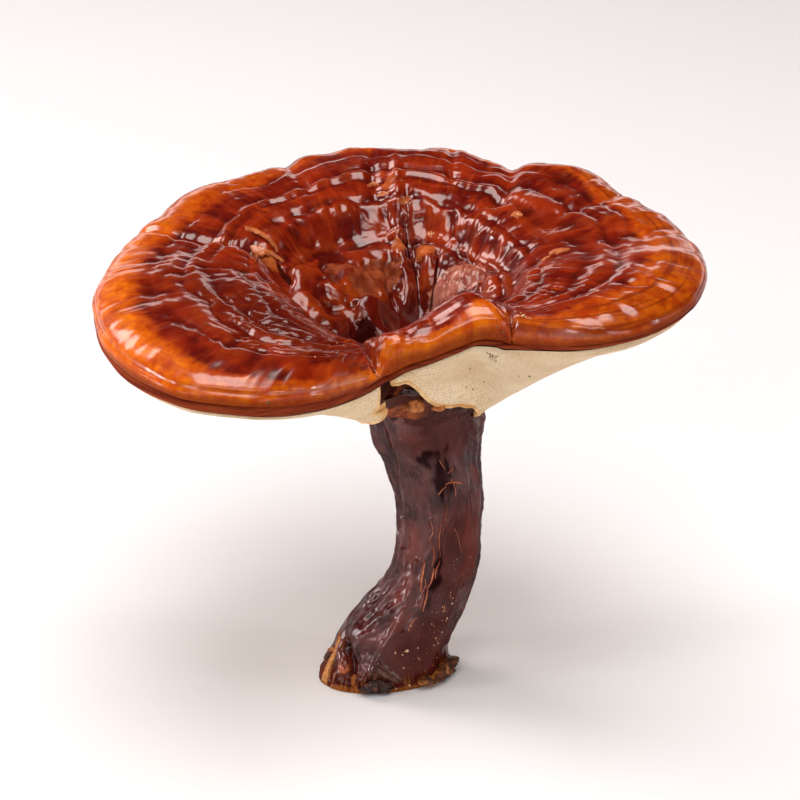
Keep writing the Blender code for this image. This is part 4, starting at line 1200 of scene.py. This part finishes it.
# Painted shade: darker deep in the funnel and at the front left.
maroon = (place.mark("hollow") * 0.8).mix(maroon, (0.058, 0.0020, 0.0007))
red_orange = blotchy.ease(0.3, 0.7).mix((0.30, 0.026, 0.0008), (0.50, 0.085, 0.002))
rim_dark = blotchy.ease(0.35, 0.65).mix((0.16, 0.010, 0.0005), (0.31, 0.042, 0.0012))
rim_light = blotchy.ease(0.3, 0.7).mix((0.56, 0.080, 0.0008), (0.78, 0.195, 0.001))
golden = (place.mark("light") * (0.7 + cloudy * 0.6)).mix(rim_dark, rim_light)
ruddy = growth.stretched(16, 16, 2.0).lumpy(1, 3, 0.6).ease(0.50, 0.68)
golden = (ruddy * 0.65).mix(golden, (0.36, 0.026, 0.001))
lines = growth.stretched(1.2, 1.2, 6.5).lumpy(1, 2, 0.6).ease(0.50, 0.60)
golden = (lines * (1 - place.mark("light")) * 0.8).mix(golden, (0.13, 0.010, 0.001))
crust = amber_edge.ease(0.05, 0.55).mix(maroon, red_orange)
crust = amber_edge.ease(0.40, 0.95).mix(crust, golden)
dull_brown = blotchy.ease(0.3, 0.7).mix((0.13, 0.022, 0.009), (0.30, 0.072, 0.026))
crust = (matte * 0.85).mix(crust, dull_brown)
pale_rose = blotchy.ease(0.3, 0.7).mix((0.26, 0.055, 0.032), (0.58, 0.25, 0.18))
crust = (rose * 0.7).mix(crust, pale_rose)
tan = blotchy.ease(0.3, 0.7).mix((0.24, 0.040, 0.009), (0.52, 0.14, 0.035))
crust = (tawny * 0.8).mix(crust, tan)
layered = place.stretched(40, 40, 800).lumpy(1, 3, 0.6)
seam_dark = 1 - (band_wire - 3.04 + layered * 0.06).maths("ABSOLUTE").ease(0.04, 0.22)
lip_brown = layered.ease(0.3, 0.7).mix((0.115, 0.014, 0.006), (0.30, 0.056, 0.018))
lip_lines = (band_wire + layered * 0.16).maths("PINGPONG", 0.14)
lip_brown = ((1 - lip_lines.ease(0.02, 0.07)) * 0.55).mix(lip_brown, (0.070, 0.010, 0.005))
crust = (band_wire.ease(2.76, 2.97) * 0.75).mix(crust, (0.19, 0.022, 0.001))
rim_line = 1 - (band_wire - 2.85 + layered * 0.04).maths("ABSOLUTE").ease(0.015, 0.055)
crust = (rim_line * 0.75).mix(crust, (0.050, 0.005, 0.003))
crust = band_wire.ease(3.0, 3.12).mix(crust, lip_brown)
crust = (seam_dark * 0.9).mix(crust, (0.030, 0.004, 0.006))
flesh = cloudy.ease(0.3, 0.7).mix((0.030, 0.005, 0.003), (0.16, 0.035, 0.012))
crust = band_wire.ease(4.0, 4.15).mix(crust, flesh)
# Painted shade in clefts, creases and holes, and the dark of real cracks.
crack_and_shade_line = place.ragged("crack_and_crevice_shade", 800, 0.35)
crust = (crack_and_shade_line * 0.9).mix(crust, (0.020, 0.0015, 0.001))
below = band_wire.ease(2.62, 2.90) * 0.8
dull = matte * 0.85 + rose * 0.35 + tawny * 0.7 + below + band_wire.ease(2.98, 3.05) + crack_and_shade_line
rough = 0.35 + blotchy * 0.2 + band_wire.ease(3.0, 3.1) * 0.2
tiny = growth.stretched(40, 40, 4).lumpy(1, 3, 0.6) * outer
tiny = tiny + place.lumpy(600, 3, 0.6) * (0.6 + dull * 0.8)
lacquer = (1 - dull.ease(0.0, 1.0)) * (1 - place.mark("hollow") * 0.3)
finish_material(place, crust, rough, tiny, relief=0.18, lacquer=lacquer)
show("cap_skin", cap_mesh, cap_crust, replaces="cap")


# The pore layer
# A skin of fine upright tubes under the cap, cream and dull. It has torn away below the notch,
# and a smooth ochre lip runs along its edges.

PORE_SIDES = 420
PORE_RINGS = 40
GAP = 0.35
PORE_AT_STEM = [(-160, 4.6), (-125, 5.6), (-95, 3.6), (-60, 2.4), (-10, 2.8), (90, 2.6), (160, 3.6)]
PORE_AT_MARGIN = [(-150, 1.1), (-100, 1.0), (-60, 1.2), (-35, 2.0), (0, 1.8), (90, 1.4), (180, 1.2)]

# The gap below the notch, seen from above, with its scalloped sides.
PORE_GAP = [
    (-1.0, -42.0), (0.8, -42.0), (0.9, -33.5), (1.5, -31.3), (3.4, -29.6), (5.6, -28.2),
    (7.6, -25.8), (9.3, -23.5), (11.3, -21.2), (15.0, -18.8), (19.0, -16.6), (23.0, -12.0),
    (16.0, -6.0), (4.0, -6.0), (-4.5, -9.5), (-6.5, -16.0), (-4.4, -21.5), (-2.4, -25.4),
    (-0.2, -27.2), (0.2, -29.0), (-2.4, -30.6), (-2.2, -32.2), (-0.6, -34.0),
]
WEDGE_HEIGHTS = (70, 115)
GAP_STEPS = 4
PORES_PER_METRE = 2100

# How far out the layer reaches, as a share of the underside, how much thinner it is at its very
# margin, and how high its waves are.
PORE_REACH = 0.995
MARGIN_TUCK = 0.35
PORE_WAVE_HEIGHT = 0.15

pore_turns = cap_directions(PORE_SIDES)
shares = np.linspace(PORE_REACH, 0, PORE_RINGS) ** 1.15
over = underside(pore_turns, shares)
margin = round_the_cap(PORE_AT_MARGIN, 1, pore_turns)[:, None]
at_stem = round_the_cap(PORE_AT_STEM, 1, pore_turns)[:, None]
thickness = at_stem + (margin - at_stem) * shares ** 0.7
under = over.copy()
over[..., 2] -= GAP
under[..., 2] -= GAP + thickness + PORE_WAVE_HEIGHT * swelling(under[..., 0], under[..., 1], 0, 6.0)
under[..., 2] += MARGIN_TUCK * ease(shares, 0.97, PORE_REACH) * thickness
pore_mesh = skin(np.concatenate([over[:, ::-1], under], axis=1), {}, hollow=True)
pore_tree = surface_of(pore_mesh)


def rounded_loop(corners, count):
    """Points along a closed soft curve through a few corners."""
    corners = np.array(corners, float)
    places = []
    for index in range(len(corners)):
        before, here, there, beyond = [corners[(index + step) % len(corners)] for step in (-1, 0, 1, 2)]
        for t in np.arange(count) / count:
            places.append(0.5 * (2 * here + (there - before) * t
                                 + (2 * before - 5 * here + 4 * there - beyond) * t ** 2
                                 + (3 * here - before - 3 * there + beyond) * t ** 3))
    return np.array(places)


def prism(outline, low, high):
    """A closed upright block over an outline."""
    count = len(outline)
    places = [(px * MM, py * MM, height * MM) for height in (low, high) for px, py in outline]
    faces = [tuple(range(count))[::-1], tuple(range(count, 2 * count))]
    faces += [(i, (i + 1) % count, count + (i + 1) % count, count + i) for i in range(count)]
    mesh = bpy.data.meshes.new("prism")
    mesh.from_pydata(places, [], faces)
    return bpy.data.objects.new("prism", mesh)


gap_outline = rounded_loop(PORE_GAP, GAP_STEPS)
wedge = prism(gap_outline, *WEDGE_HEIGHTS)
layer = bpy.data.objects.new("pore_work", pore_mesh)
for helper in (wedge, layer):
    bpy.context.scene.collection.objects.link(helper)
cut = layer.modifiers.new("gap below the notch", "BOOLEAN")
cut.operation = "DIFFERENCE"
cut.solver = "EXACT"
cut.object = wedge
pore_mesh = bpy.data.meshes.new_from_object(layer.evaluated_get(bpy.context.evaluated_depsgraph_get()))
for helper in (wedge, layer):
    bpy.data.objects.remove(helper)
places = np.array([vertex.co for vertex in pore_mesh.vertices]) / MM
from_edge = np.sqrt(squared_distance(places[:, 0], places[:, 1], [*gap_outline, gap_outline[0]]))
pore_mesh.attributes.new("from_edge", "FLOAT", "POINT").data.foreach_set("value", from_edge)
pore_mesh.shade_smooth()
pore_mesh.set_sharp_from_angle(angle=math.radians(40))

pore_cream, place = new_material("pore surface", specular=0.2)
cloudy = place.lumpy(60, 4, 0.6)
tubes = place.stretched(1, 1, 0.6).cells(PORES_PER_METRE, randomness=0.6)
pores = tubes.ease(0.15, 0.48)
shade_near_gap = 1 - place.mark("from_edge").ease(2.0, 8.0)
cream = cloudy.ease(0.3, 0.7).mix((0.70, 0.50, 0.29), (0.86, 0.70, 0.47))
# The pore openings are painted darker as shade in the tubes, and more so near the gap's edge as painted
# shade.
cream = ((1 - pores) * (0.28 + shade_near_gap * 0.42)).mix(cream, (0.36, 0.19, 0.08))
edge_ochre = 1 - (place.mark("from_edge") + cloudy * 0.8 - 0.4).ease(0.1, 0.9)
cream = (edge_ochre * 0.8).mix(cream, (0.70, 0.38, 0.11))
finish_material(place, cream, 0.6 + cloudy * 0.2, pores, relief=0.05)
show("pore_skin", pore_mesh, pore_cream, replaces="pore_layer")


# The rounded lip of the pore layer
# A smooth ochre lip grew along both torn edges of the layer, a little thicker than the tubes.
# From the sides of the gap it runs on round the back of the stem, where it closes the layer.

LIP_RADIUS = 0.52
LIP_STEPS = 3
LIP_STAND_OFF = 0.25
SHORTEST_LIP = 5
COLLAR_FROM = -38
COLLAR_TO = -152

# How far the collar lies above the layer's edge, how far it reaches in at most, and how thick it is
# where it reaches in least.
COLLAR_RISE = 0.3
COLLAR_REACH = 2.0
COLLAR_RADIUS = 0.35

lip_cream, place = new_material("lip cream", specular=0.3)
tone = place.lumpy(260, 3, 0.55).ease(0.35, 0.65)
body = tone.mix((0.62, 0.30, 0.085), (0.86, 0.60, 0.30))
finish_material(place, body, 0.45 + tone * 0.2, place.lumpy(900, 2, 0.5), relief=0.04)
runs = [[]]
for px, py in rounded_loop(PORE_GAP, GAP_STEPS * LIP_STEPS):
    hit, normal, _, _ = pore_tree.ray_cast(Vector((px, py, 60)) * MM, Vector((0, 0, 1)))
    if hit is None or normal.z > -0.05:
        runs.append([])
    else:
        runs[-1].append((px, py, hit.z / MM + LIP_STAND_OFF))
lip_paths = []
for run in runs:
    if len(run) > SHORTEST_LIP:
        run = np.array(run)
        swell = 1 + 0.30 * swelling(run[:, 0], run[:, 1], 7.0, 1.7)
        swell = swell * ease(np.arange(len(run)), -1.5, 5) * ease(np.arange(len(run))[::-1], -1.5, 5)
        lip_paths.append((run, LIP_RADIUS * swell))

# The collar round the stem reaches from the layer's inner edge to the stem's crust.
collar = []
for edge_x, edge_y, edge_z in [*under[pore_turns > COLLAR_FROM, -1], *under[pore_turns < COLLAR_TO, -1]]:
    edge = Vector((edge_x, edge_y, edge_z + COLLAR_RISE)) * MM
    inwards_here = (Vector((*SEAT_CENTRE, 0)) * MM - Vector((edge.x, edge.y, 0))).normalized()
    hit, _, _, distance = crust_tree.ray_cast(edge, inwards_here)
    reach_in = min(distance / MM, COLLAR_REACH) if hit else 0.5
    middle = np.array(edge) / MM + 0.5 * reach_in * np.array(inwards_here)
    collar.append((*middle, COLLAR_RADIUS + 0.5 * reach_in))
collar = np.array(collar)
collar_swell = 1 + 0.25 * swelling(collar[:, 0], collar[:, 1], 7.0, 2.2)
lip_paths.append((collar[:, :3], collar[:, 3] * collar_swell))
show("pore_lip", strands(lip_paths, lip_cream, sides=12), lip_cream)


# The neck below the notch
# Where the pore layer is torn open, the crust of the stem spreads up into the flesh of the cap.
# A fibrous knob, an orange bead and a black glossy lump stick in it beside a dark hole.

# Ring by ring: on the stem its height and stand-off, then under the cap its share and drop.
NECK_ON_STEM = [(77.6, -0.5), (79.0, 0.15), (80.4, 0.35), (81.6, 0.7)]
NECK_UNDER_CAP = [
    (0.05, -1.3), (0.12, -1.4), (0.20, -1.3), (0.28, -1.1), (0.36, -0.8), (0.44, -0.5), (0.52, 0.3),
]
NECK_INSIDE = [(12.0, 85.0), (11.0, 79.0)]
NECK_SIDES = 360
NECK_RINGS = 60
NECK_BUMP_HEIGHT = 0.55
NECK_CREASE_HEIGHT = 0.22

neck_turns = np.arange(NECK_SIDES) * 360 / NECK_SIDES - 180
neck = [stem_surface(np.full(NECK_SIDES, height), neck_turns, off) for height, off in NECK_ON_STEM]
for share, drop in NECK_UNDER_CAP:
    neck.append(underside(neck_turns, [share])[:, 0] + (0, 0, drop))
for radius, height in NECK_INSIDE:
    ring_x, ring_y = place_round(SEAT_CENTRE, np.full((NECK_SIDES, 1), radius), neck_turns)
    neck.append(np.stack([ring_x[:, 0], ring_y[:, 0], np.full(NECK_SIDES, height)], axis=-1))
knots = np.stack(neck, axis=2).reshape(NECK_SIDES * 3, -1)
at = np.linspace(0, knots.shape[1] - 1, NECK_RINGS)[None] + np.zeros((len(knots), 1))
along = np.arange(knots.shape[1])[None] + np.zeros((len(knots), 1))
neck = smooth(along, knots, at).reshape(NECK_SIDES, 3, NECK_RINGS).transpose(0, 2, 1)
inside = ease(at[:NECK_SIDES], 9, 10)
bumps = NECK_BUMP_HEIGHT * swelling(neck[..., 0], neck[..., 1], neck[..., 2], 2.6)
bumps += NECK_CREASE_HEIGHT * creases(swelling(neck[..., 0], neck[..., 1], neck[..., 2] + 20, 1.5))
neck = neck + outwards(neck) * (bumps * ease(at[:NECK_SIDES], 0.5, 2.5) * (1 - inside))[..., None]
neck_mesh = skin(neck, {"rise": at[:NECK_SIDES] / 10}, hollow=True)

neck_crust, place = new_material("neck crust", specular=0.12)
rise = place.mark("rise")
cloudy = place.lumpy(230, 4, 0.6)
body = cloudy.ease(0.3, 0.7).mix((0.030, 0.006, 0.006), (0.085, 0.020, 0.014))
ruddy = cloudy.ease(0.35, 0.6).mix((0.11, 0.020, 0.008), (0.36, 0.085, 0.022))
to_left = place.axis(0).ease(0.013, 0.004)
body = ((rise + cloudy * 0.4).ease(0.50, 0.74) * to_left).mix(body, ruddy)
body = ((rise + cloudy * 0.3).ease(0.90, 1.02)).mix(body, (0.060, 0.009, 0.004))
finish_material(place, body, 0.28 + cloudy * 0.3, place.lumpy(700, 3, 0.6), relief=0.10)
show("neck", neck_mesh, neck_crust)

# The camera, in metres. Small things are put where the photograph shows them, by their pixels.
CAMERA_AT = (0.0038, -0.67589, 0.40866)
CAMERA_TARGET = (0.0038, 0.0, 0.079)
LENS = 135
SENSOR = 36
PICTURE = 800
KNOB_PIXEL = (414.5, 404)
BEAD_PIXEL = (438, 405.5)
GRAIN_PIXELS = [(398, 411), (456, 419)]
RESIN_PIXEL = (408, 390.5)


def seen(trees, column, row):
    """The place on the nearest of a few surfaces that the photograph shows at a pixel."""
    ahead = (Vector(CAMERA_TARGET) - Vector(CAMERA_AT)).normalized()
    side = ahead.cross(Vector((0, 0, 1))).normalized()
    step = SENSOR / LENS / PICTURE
    ray = ahead + side * (column - PICTURE / 2) * step + side.cross(ahead) * (PICTURE / 2 - row) * step
    hits = [tree.ray_cast(Vector(CAMERA_AT), ray.normalized()) for tree in trees]
    hit = min([hit for hit in hits if hit[0]], key=lambda hit: hit[3])
    return np.array(hit[0]) / MM


def nodules(*rows):
    """One mesh of lumpy nodules: place, radii, how lumpy, how fine the lumps are, and seed."""
    work = bmesh.new()
    for middle, radii, lumpiness, fineness, seed in rows:
        for vertex in bmesh.ops.create_icosphere(work, subdivisions=5, radius=1.0)["verts"]:
            ball = vertex.co.copy()
            grow = 1 + lumpiness * noise.noise(ball * fineness + Vector((seed, 0, 0)))
            grow += 0.4 * lumpiness * noise.noise(ball * fineness * 2.7 + Vector((seed, 5, 0)))
            vertex.co = [MM * (at + grow * size * part) for at, size, part in zip(middle, radii, ball)]
    mesh = bpy.data.meshes.new("nodules")
    work.to_mesh(mesh)
    work.free()
    mesh.shade_smooth()
    return mesh


cap_tree = surface_of(cap_mesh)
neck_surfaces = [cap_tree, surface_of(neck_mesh), crust_tree]
knob_brown = grained(
    "knob brown", specular=0.3, grain=(900, 4, 0.65), blend=(0.3, 0.7), dark=(0.20, 0.045, 0.010),
    light=(0.62, 0.22, 0.050), rough=(0.5, 0.2), relief=0.15, stretch=(1, 1, 0.35))
brown_knob, orange_bead, left_grain, right_grain = [
    seen(neck_surfaces, *pixel) for pixel in (KNOB_PIXEL, BEAD_PIXEL, *GRAIN_PIXELS)]
knobs = nodules(
    (brown_knob + (0, -0.5, 0.1), (2.5, 1.7, 2.0), 0.22, 1.6, 3),
    (orange_bead + (0, -0.6, -0.3), (1.6, 1.0, 0.9), 0.25, 1.6, 4),
    (left_grain, (0.35, 0.3, 0.25), 0.4, 2.0, 5), (right_grain, (0.25, 0.2, 0.25), 0.4, 2.0, 6))
show("neck_knobs", knobs, knob_brown)

tar = grained(
    "black resin", specular=0.5, grain=(500, 3, 0.6), blend=(0.35, 0.65), dark=(0.008, 0.002, 0.002),
    light=(0.050, 0.010, 0.008), rough=(0.16, 0.1), relief=0.10)
drop = seen(neck_surfaces, *RESIN_PIXEL)
resin = nodules(
    (drop, (2.3, 1.2, 1.3), 0.55, 1.5, 7), (drop + (-1.8, 0.3, 0.7), (1.3, 0.9, 0.8), 0.5, 1.6, 8))
show("neck_resin", resin, tar)


# Torn crust and flakes on the cap
# The lacquered crust broke at the left of the funnel, where a tan scrap stands up beside a tear,
# and thin flakes of torn skin and cream crumbs lie here and there.

# Row by row: both ends of the row as pixels, and how far each end stands off the crust.
UPPER_FLAP = [
    (245, 226, 245, 229, 0.0, 0.1), (256, 229, 255, 234, 0.0, 0.2), (265, 234, 263, 239, 0.0, 0.5),
    (272, 240, 269, 244, 0.0, 0.6), (277, 247, 274, 249, 0.0, 0.4), (278, 252, 276, 252, 0.0, 0.1),
]
LOWER_FLAP = [
    (250, 246, 250, 248, 0.0, 0.1), (255, 246, 254, 256, 0.0, 0.4), (259, 247, 256, 262, 0.0, 0.7),
    (266, 249, 266, 257, 0.0, 0.6), (274, 253, 273, 257, 0.0, 0.3), (284, 261, 283, 263, 0.0, 0.1),
]
CAP_FLAKES = [
    [(511, 215, 511, 216, 0, 0), (515, 212, 515, 218, 0.2, 0), (519, 212.5, 520, 217.5, 0.2, 0),
     (523, 215, 523, 216, 0, 0)],
    [(549, 253, 549, 255, 0, 0), (556, 250, 557, 254, 0.2, 0), (564, 249, 565, 252, 0.2, 0),
     (570, 249, 570, 250, 0, 0)],
    [(541, 261, 541, 262, 0, 0), (545, 258, 546, 260, 0.2, 0), (550, 256, 550, 257, 0, 0)],
    [(397, 201, 397, 202, 0, 0), (402, 198, 401, 205, 0.3, 0), (408, 197, 408, 203, 0.2, 0),
     (411, 199, 411, 200, 0, 0)],
    [(377, 196, 377, 197, 0, 0), (382, 193, 382, 196, 0.2, 0), (389, 192, 389, 195, 0, 0)],
    [(367, 186, 367, 187, 0, 0), (372, 183, 372, 187, 0.3, 0), (378, 183, 379, 185, 0, 0)],
    [(427, 233, 427, 235, 0, 0), (431, 232, 431, 236, 0.2, 0), (435, 233, 435, 234, 0, 0)],
]
FLAP_ROWS = 24
FLAP_COLUMNS = 16


def cap_scrap(rows, thickness, ragged, seed):
    """A scrap on the cap: its grid of places, outer side first and inner side last."""
    v = np.linspace(0, len(rows) - 1, FLAP_ROWS)
    u = np.linspace(0, 1, FLAP_COLUMNS)
    read = np.stack([np.interp(v, np.arange(len(rows)), column) for column in zip(*rows)], axis=-1)
    first, last = read[:, [0, 1, 4]], read[:, [2, 3, 5]]
    jag = (ragged * swelling(v * 2.3, seed, 0))[:, None] * (last - first)
    grid = first[:, None] + (last + jag - first)[:, None] * u[:, None]
    outer = np.zeros(grid.shape)
    inner = np.zeros(grid.shape)
    for row, column in np.ndindex(grid.shape[:2]):
        px, py, lift = grid[row, column]
        place = seen([cap_tree], px, py)
        rough = 1 + 0.6 * noise.noise(Vector(place) * 1.3 + Vector((seed, 0, 0)))
        outer[row, column] = place + (0, -0.3 * lift, lift * rough + thickness * rough)
        inner[row, column] = place + (0, -0.3 * lift, lift * rough - (0.3 if lift < 0.15 else 0.0))
    return outer, inner


torn_crust = grained(
    "torn crust", specular=0.2, grain=(420, 4, 0.65), blend=(0.3, 0.7), dark=(0.26, 0.040, 0.006),
    light=(0.58, 0.20, 0.070), rough=(0.40, 0.2), relief=0.12, gloss=(0.3, 0.6))
flaps = [
    cap_scrap(UPPER_FLAP, thickness=0.2, ragged=0.25, seed=1),
    cap_scrap(LOWER_FLAP, thickness=0.2, ragged=0.5, seed=2),
]
show("torn_flap", closed_scraps(*flaps), torn_crust)
flakes = [cap_scrap(rows, thickness=0.22, ragged=0.5, seed=seed) for seed, rows in enumerate(CAP_FLAKES)]
show("cap_flakes", closed_scraps(*flakes), torn_crust)

# Crumbs on the cap and dark specks on the pore layer: pixel and radius.
CAP_CRUMBS = [
    (523.5, 315.5, 0.62), (526.0, 317.0, 0.30), (277.0, 310.0, 0.16), (315.0, 357.0, 0.24),
    (337.0, 343.0, 0.18), (578.0, 195.5, 0.30), (521.0, 313.0, 0.22), (334.5, 216.0, 0.16),
    (366.0, 293.0, 0.14), (420.0, 177.0, 0.16), (560.0, 190.0, 0.14),
]
PORE_SPECKS = [
    (466.0, 387.0, 0.30), (473.0, 389.0, 0.24), (477.0, 388.0, 0.20), (484.0, 382.0, 0.26),
    (519.0, 376.0, 0.24), (529.5, 376.0, 0.34), (470.0, 369.0, 0.22), (427.0, 375.0, 0.20),
    (430.0, 374.5, 0.22), (433.0, 374.0, 0.18), (455.0, 392.0, 0.16), (497.0, 369.0, 0.18),
    (508.0, 384.0, 0.16), (488.0, 392.0, 0.14),
]
RIM_DOTS = [(268.3, 402.7, 0.5), (497.0, 327.0, 0.26), (500.5, 329.5, 0.36), (503.5, 332.0, 0.42)]

# A cluster of specks: the pixel of its middle, how far it spreads, and how many they are. Finer
# specks lie in a field of pixels.
CLUSTER_MIDDLE = (493, 357)
CLUSTER_SPREAD = (3.5, 2)
CLUSTER_SPECKS = 34
FIELD_COLUMNS = (435, 505)
FIELD_ROWS = (368, 388)
FIELD_SPECKS = 60


def spots_on(tree, rows):
    """Places on a surface, each with its radius, from rows of pixels and radii."""
    return [(seen([tree], px, py), radius) for px, py, radius in rows]


cap_spots = spots_on(cap_tree, CAP_CRUMBS)
show("cap_crumbs", crumbs(cap_spots, crumb_cream, 21), crumb_cream)

speck_brown = grained(
    "pore speck brown", specular=0.2, grain=(500, 2, 0.6), blend=(0.35, 0.65),
    dark=(0.060, 0.018, 0.006), light=(0.22, 0.095, 0.035), rough=(0.6, 0.2), relief=0.05, crisp=True)
specks = spots_on(pore_tree, PORE_SPECKS) + spots_on(cap_tree, RIM_DOTS)
for _ in range(CLUSTER_SPECKS):
    pixel = [chance.normal(*axis) for axis in zip(CLUSTER_MIDDLE, CLUSTER_SPREAD)]
    specks.append((seen([pore_tree], *pixel), 0.10 + 0.18 * chance.random()))
for _ in range(FIELD_SPECKS):
    pixel = [chance.uniform(*axis) for axis in (FIELD_COLUMNS, FIELD_ROWS)]
    specks.append((seen([pore_tree], *pixel), 0.05 + 0.06 * chance.random()))
speck_mesh = crumbs(specks, speck_brown, 31, detail=1)
show("pore_specks", speck_mesh, speck_brown)


# The studio
# A round pale floor and a pale wall round it. A large soft box hangs overhead and a smaller one
# at the back left. Strips and panels stand in front, low at both sides and at the back, as the
# lacquer's reflections in the photograph show.

# Sizes and places are in metres.
FLOOR_RADIUS = 1.45
FLOOR_DROP = 0.0002
WALL_HEIGHT = 2.0
WALL_DROP = 0.01
ROUND = 96
WALL_GLOW = 0.9
AIR_GLOW = 0.02
MIDDLE = (0, 0, 0.09)
LOW = (0, 0, 0.05)

# Each lamp: place, what it faces, width, depth, radiance and colour.
LAMPS = {
    "overhead box": ((0.03, -0.17, 1.20), MIDDLE, 0.78, 0.88, 6.3, (1, 0.89, 0.84)),
    "front strip": ((0, -0.95, 0.95), (0, 0, 0.11), 1.3, 0.2, 5.2, (1, 0.86, 0.80)),
    "low front left strip": ((-0.75, -1.25, 0.22), LOW, 0.6, 0.4, 7.0, (1, 0.72, 0.75)),
    "low front right strip": ((0.95, -1.1, 0.22), LOW, 0.35, 0.4, 5.0, (1, 0.72, 0.75)),
    "back left box": ((-0.62, 0.42, 0.70), MIDDLE, 0.42, 0.42, 8.0, (1, 0.80, 0.75)),
    "back panel": ((0.0, 1.6, 0.34), (0, 0, 0.20), 3.6, 0.30, 1.9, (1, 0.78, 0.74)),
    "left panel": ((-1.6, 0.3, 0.30), (0, 0, 0.15), 1.8, 0.30, 1.0, (1, 0.86, 0.84)),
    "right panel": ((1.6, 0.3, 0.30), (0, 0, 0.15), 1.8, 0.30, 1.0, (1, 0.86, 0.84)),
    "low left strip": ((-1.3, -0.35, 0.25), MIDDLE, 0.3, 0.6, 17.0, (1, 0.87, 0.88)),
    "low right strip": ((1.3, -0.35, 0.25), MIDDLE, 0.18, 0.6, 12.0, (1, 0.90, 0.90)),
}

# These show in the lacquer alone.
GLOSS_ONLY = ("low front left strip", "low front right strip")

floor_mesh = bpy.data.meshes.new("floor")
disc = bmesh.new()
bmesh.ops.create_circle(disc, cap_ends=True, radius=FLOOR_RADIUS, segments=ROUND)
disc.to_mesh(floor_mesh)
disc.free()
floor = bpy.data.objects.new("floor", floor_mesh)
floor.location = (0, 0, -FLOOR_DROP)
bpy.context.scene.collection.objects.link(floor)
floor_paint, place = new_material("pale floor", specular=0.2, tint=(1, 1, 1))
pale = place.lumpy(8, 2, 0.5).mix((0.82, 0.90, 0.945), (0.84, 0.92, 0.965))
shader = place.tree.nodes["Principled BSDF"]
place.tree.links.new(pale.socket, shader.inputs["Base Color"])
shader.inputs["Roughness"].default_value = 0.7
floor_mesh.materials.append(floor_paint)

# The wall neither lights the mushroom nor shows in the lacquer.
wall_mesh = bpy.data.meshes.new("backdrop")
tube = bmesh.new()
bmesh.ops.create_cone(
    tube, segments=ROUND, radius1=FLOOR_RADIUS, radius2=FLOOR_RADIUS, depth=WALL_HEIGHT)
tube.to_mesh(wall_mesh)
tube.free()
pale_wall = bpy.data.materials.new("pale wall")
pale_wall.use_nodes = True
shader = pale_wall.node_tree.nodes["Principled BSDF"]
shader.inputs["Base Color"].default_value = (0, 0, 0, 1)
shader.inputs["Emission Color"].default_value = (0.95, 0.93, 0.92, 1)
shader.inputs["Emission Strength"].default_value = WALL_GLOW
wall_mesh.materials.append(pale_wall)
backdrop = bpy.data.objects.new("backdrop", wall_mesh)
backdrop.location = (0, 0, WALL_HEIGHT / 2 - WALL_DROP)
for seen_by in ("diffuse", "glossy", "transmission", "shadow"):
    setattr(backdrop, "visible_" + seen_by, False)
bpy.context.scene.collection.objects.link(backdrop)

for name, (place, target, width, depth, radiance, colour) in LAMPS.items():
    lamp = bpy.data.lights.new(name, "AREA")
    lamp.shape = "RECTANGLE"
    lamp.size = width
    lamp.size_y = depth
    lamp.energy = radiance * math.pi * width * depth
    lamp.color = colour
    holder = bpy.data.objects.new(name, lamp)
    holder.location = place
    holder.rotation_euler = (Vector(target) - Vector(place)).to_track_quat("-Z", "Y").to_euler()
    holder.visible_camera = False
    holder.visible_diffuse = name not in GLOSS_ONLY
    bpy.context.scene.collection.objects.link(holder)

world = bpy.data.worlds.new("studio air")
world.use_nodes = True
air = world.node_tree.nodes["Background"]
air.inputs["Color"].default_value = (1, 0.99, 0.98, 1)
air.inputs["Strength"].default_value = AIR_GLOW
bpy.context.scene.world = world
bpy.context.scene.view_settings.view_transform = "Standard"

lens = bpy.data.cameras.new("camera")
lens.lens = LENS
lens.sensor_width = SENSOR
camera = bpy.data.objects.new("camera", lens)
camera.location = CAMERA_AT
aim = Vector(CAMERA_TARGET) - Vector(CAMERA_AT)
camera.rotation_euler = aim.to_track_quat("-Z", "Y").to_euler()
bpy.context.scene.collection.objects.link(camera)
bpy.context.scene.camera = camera
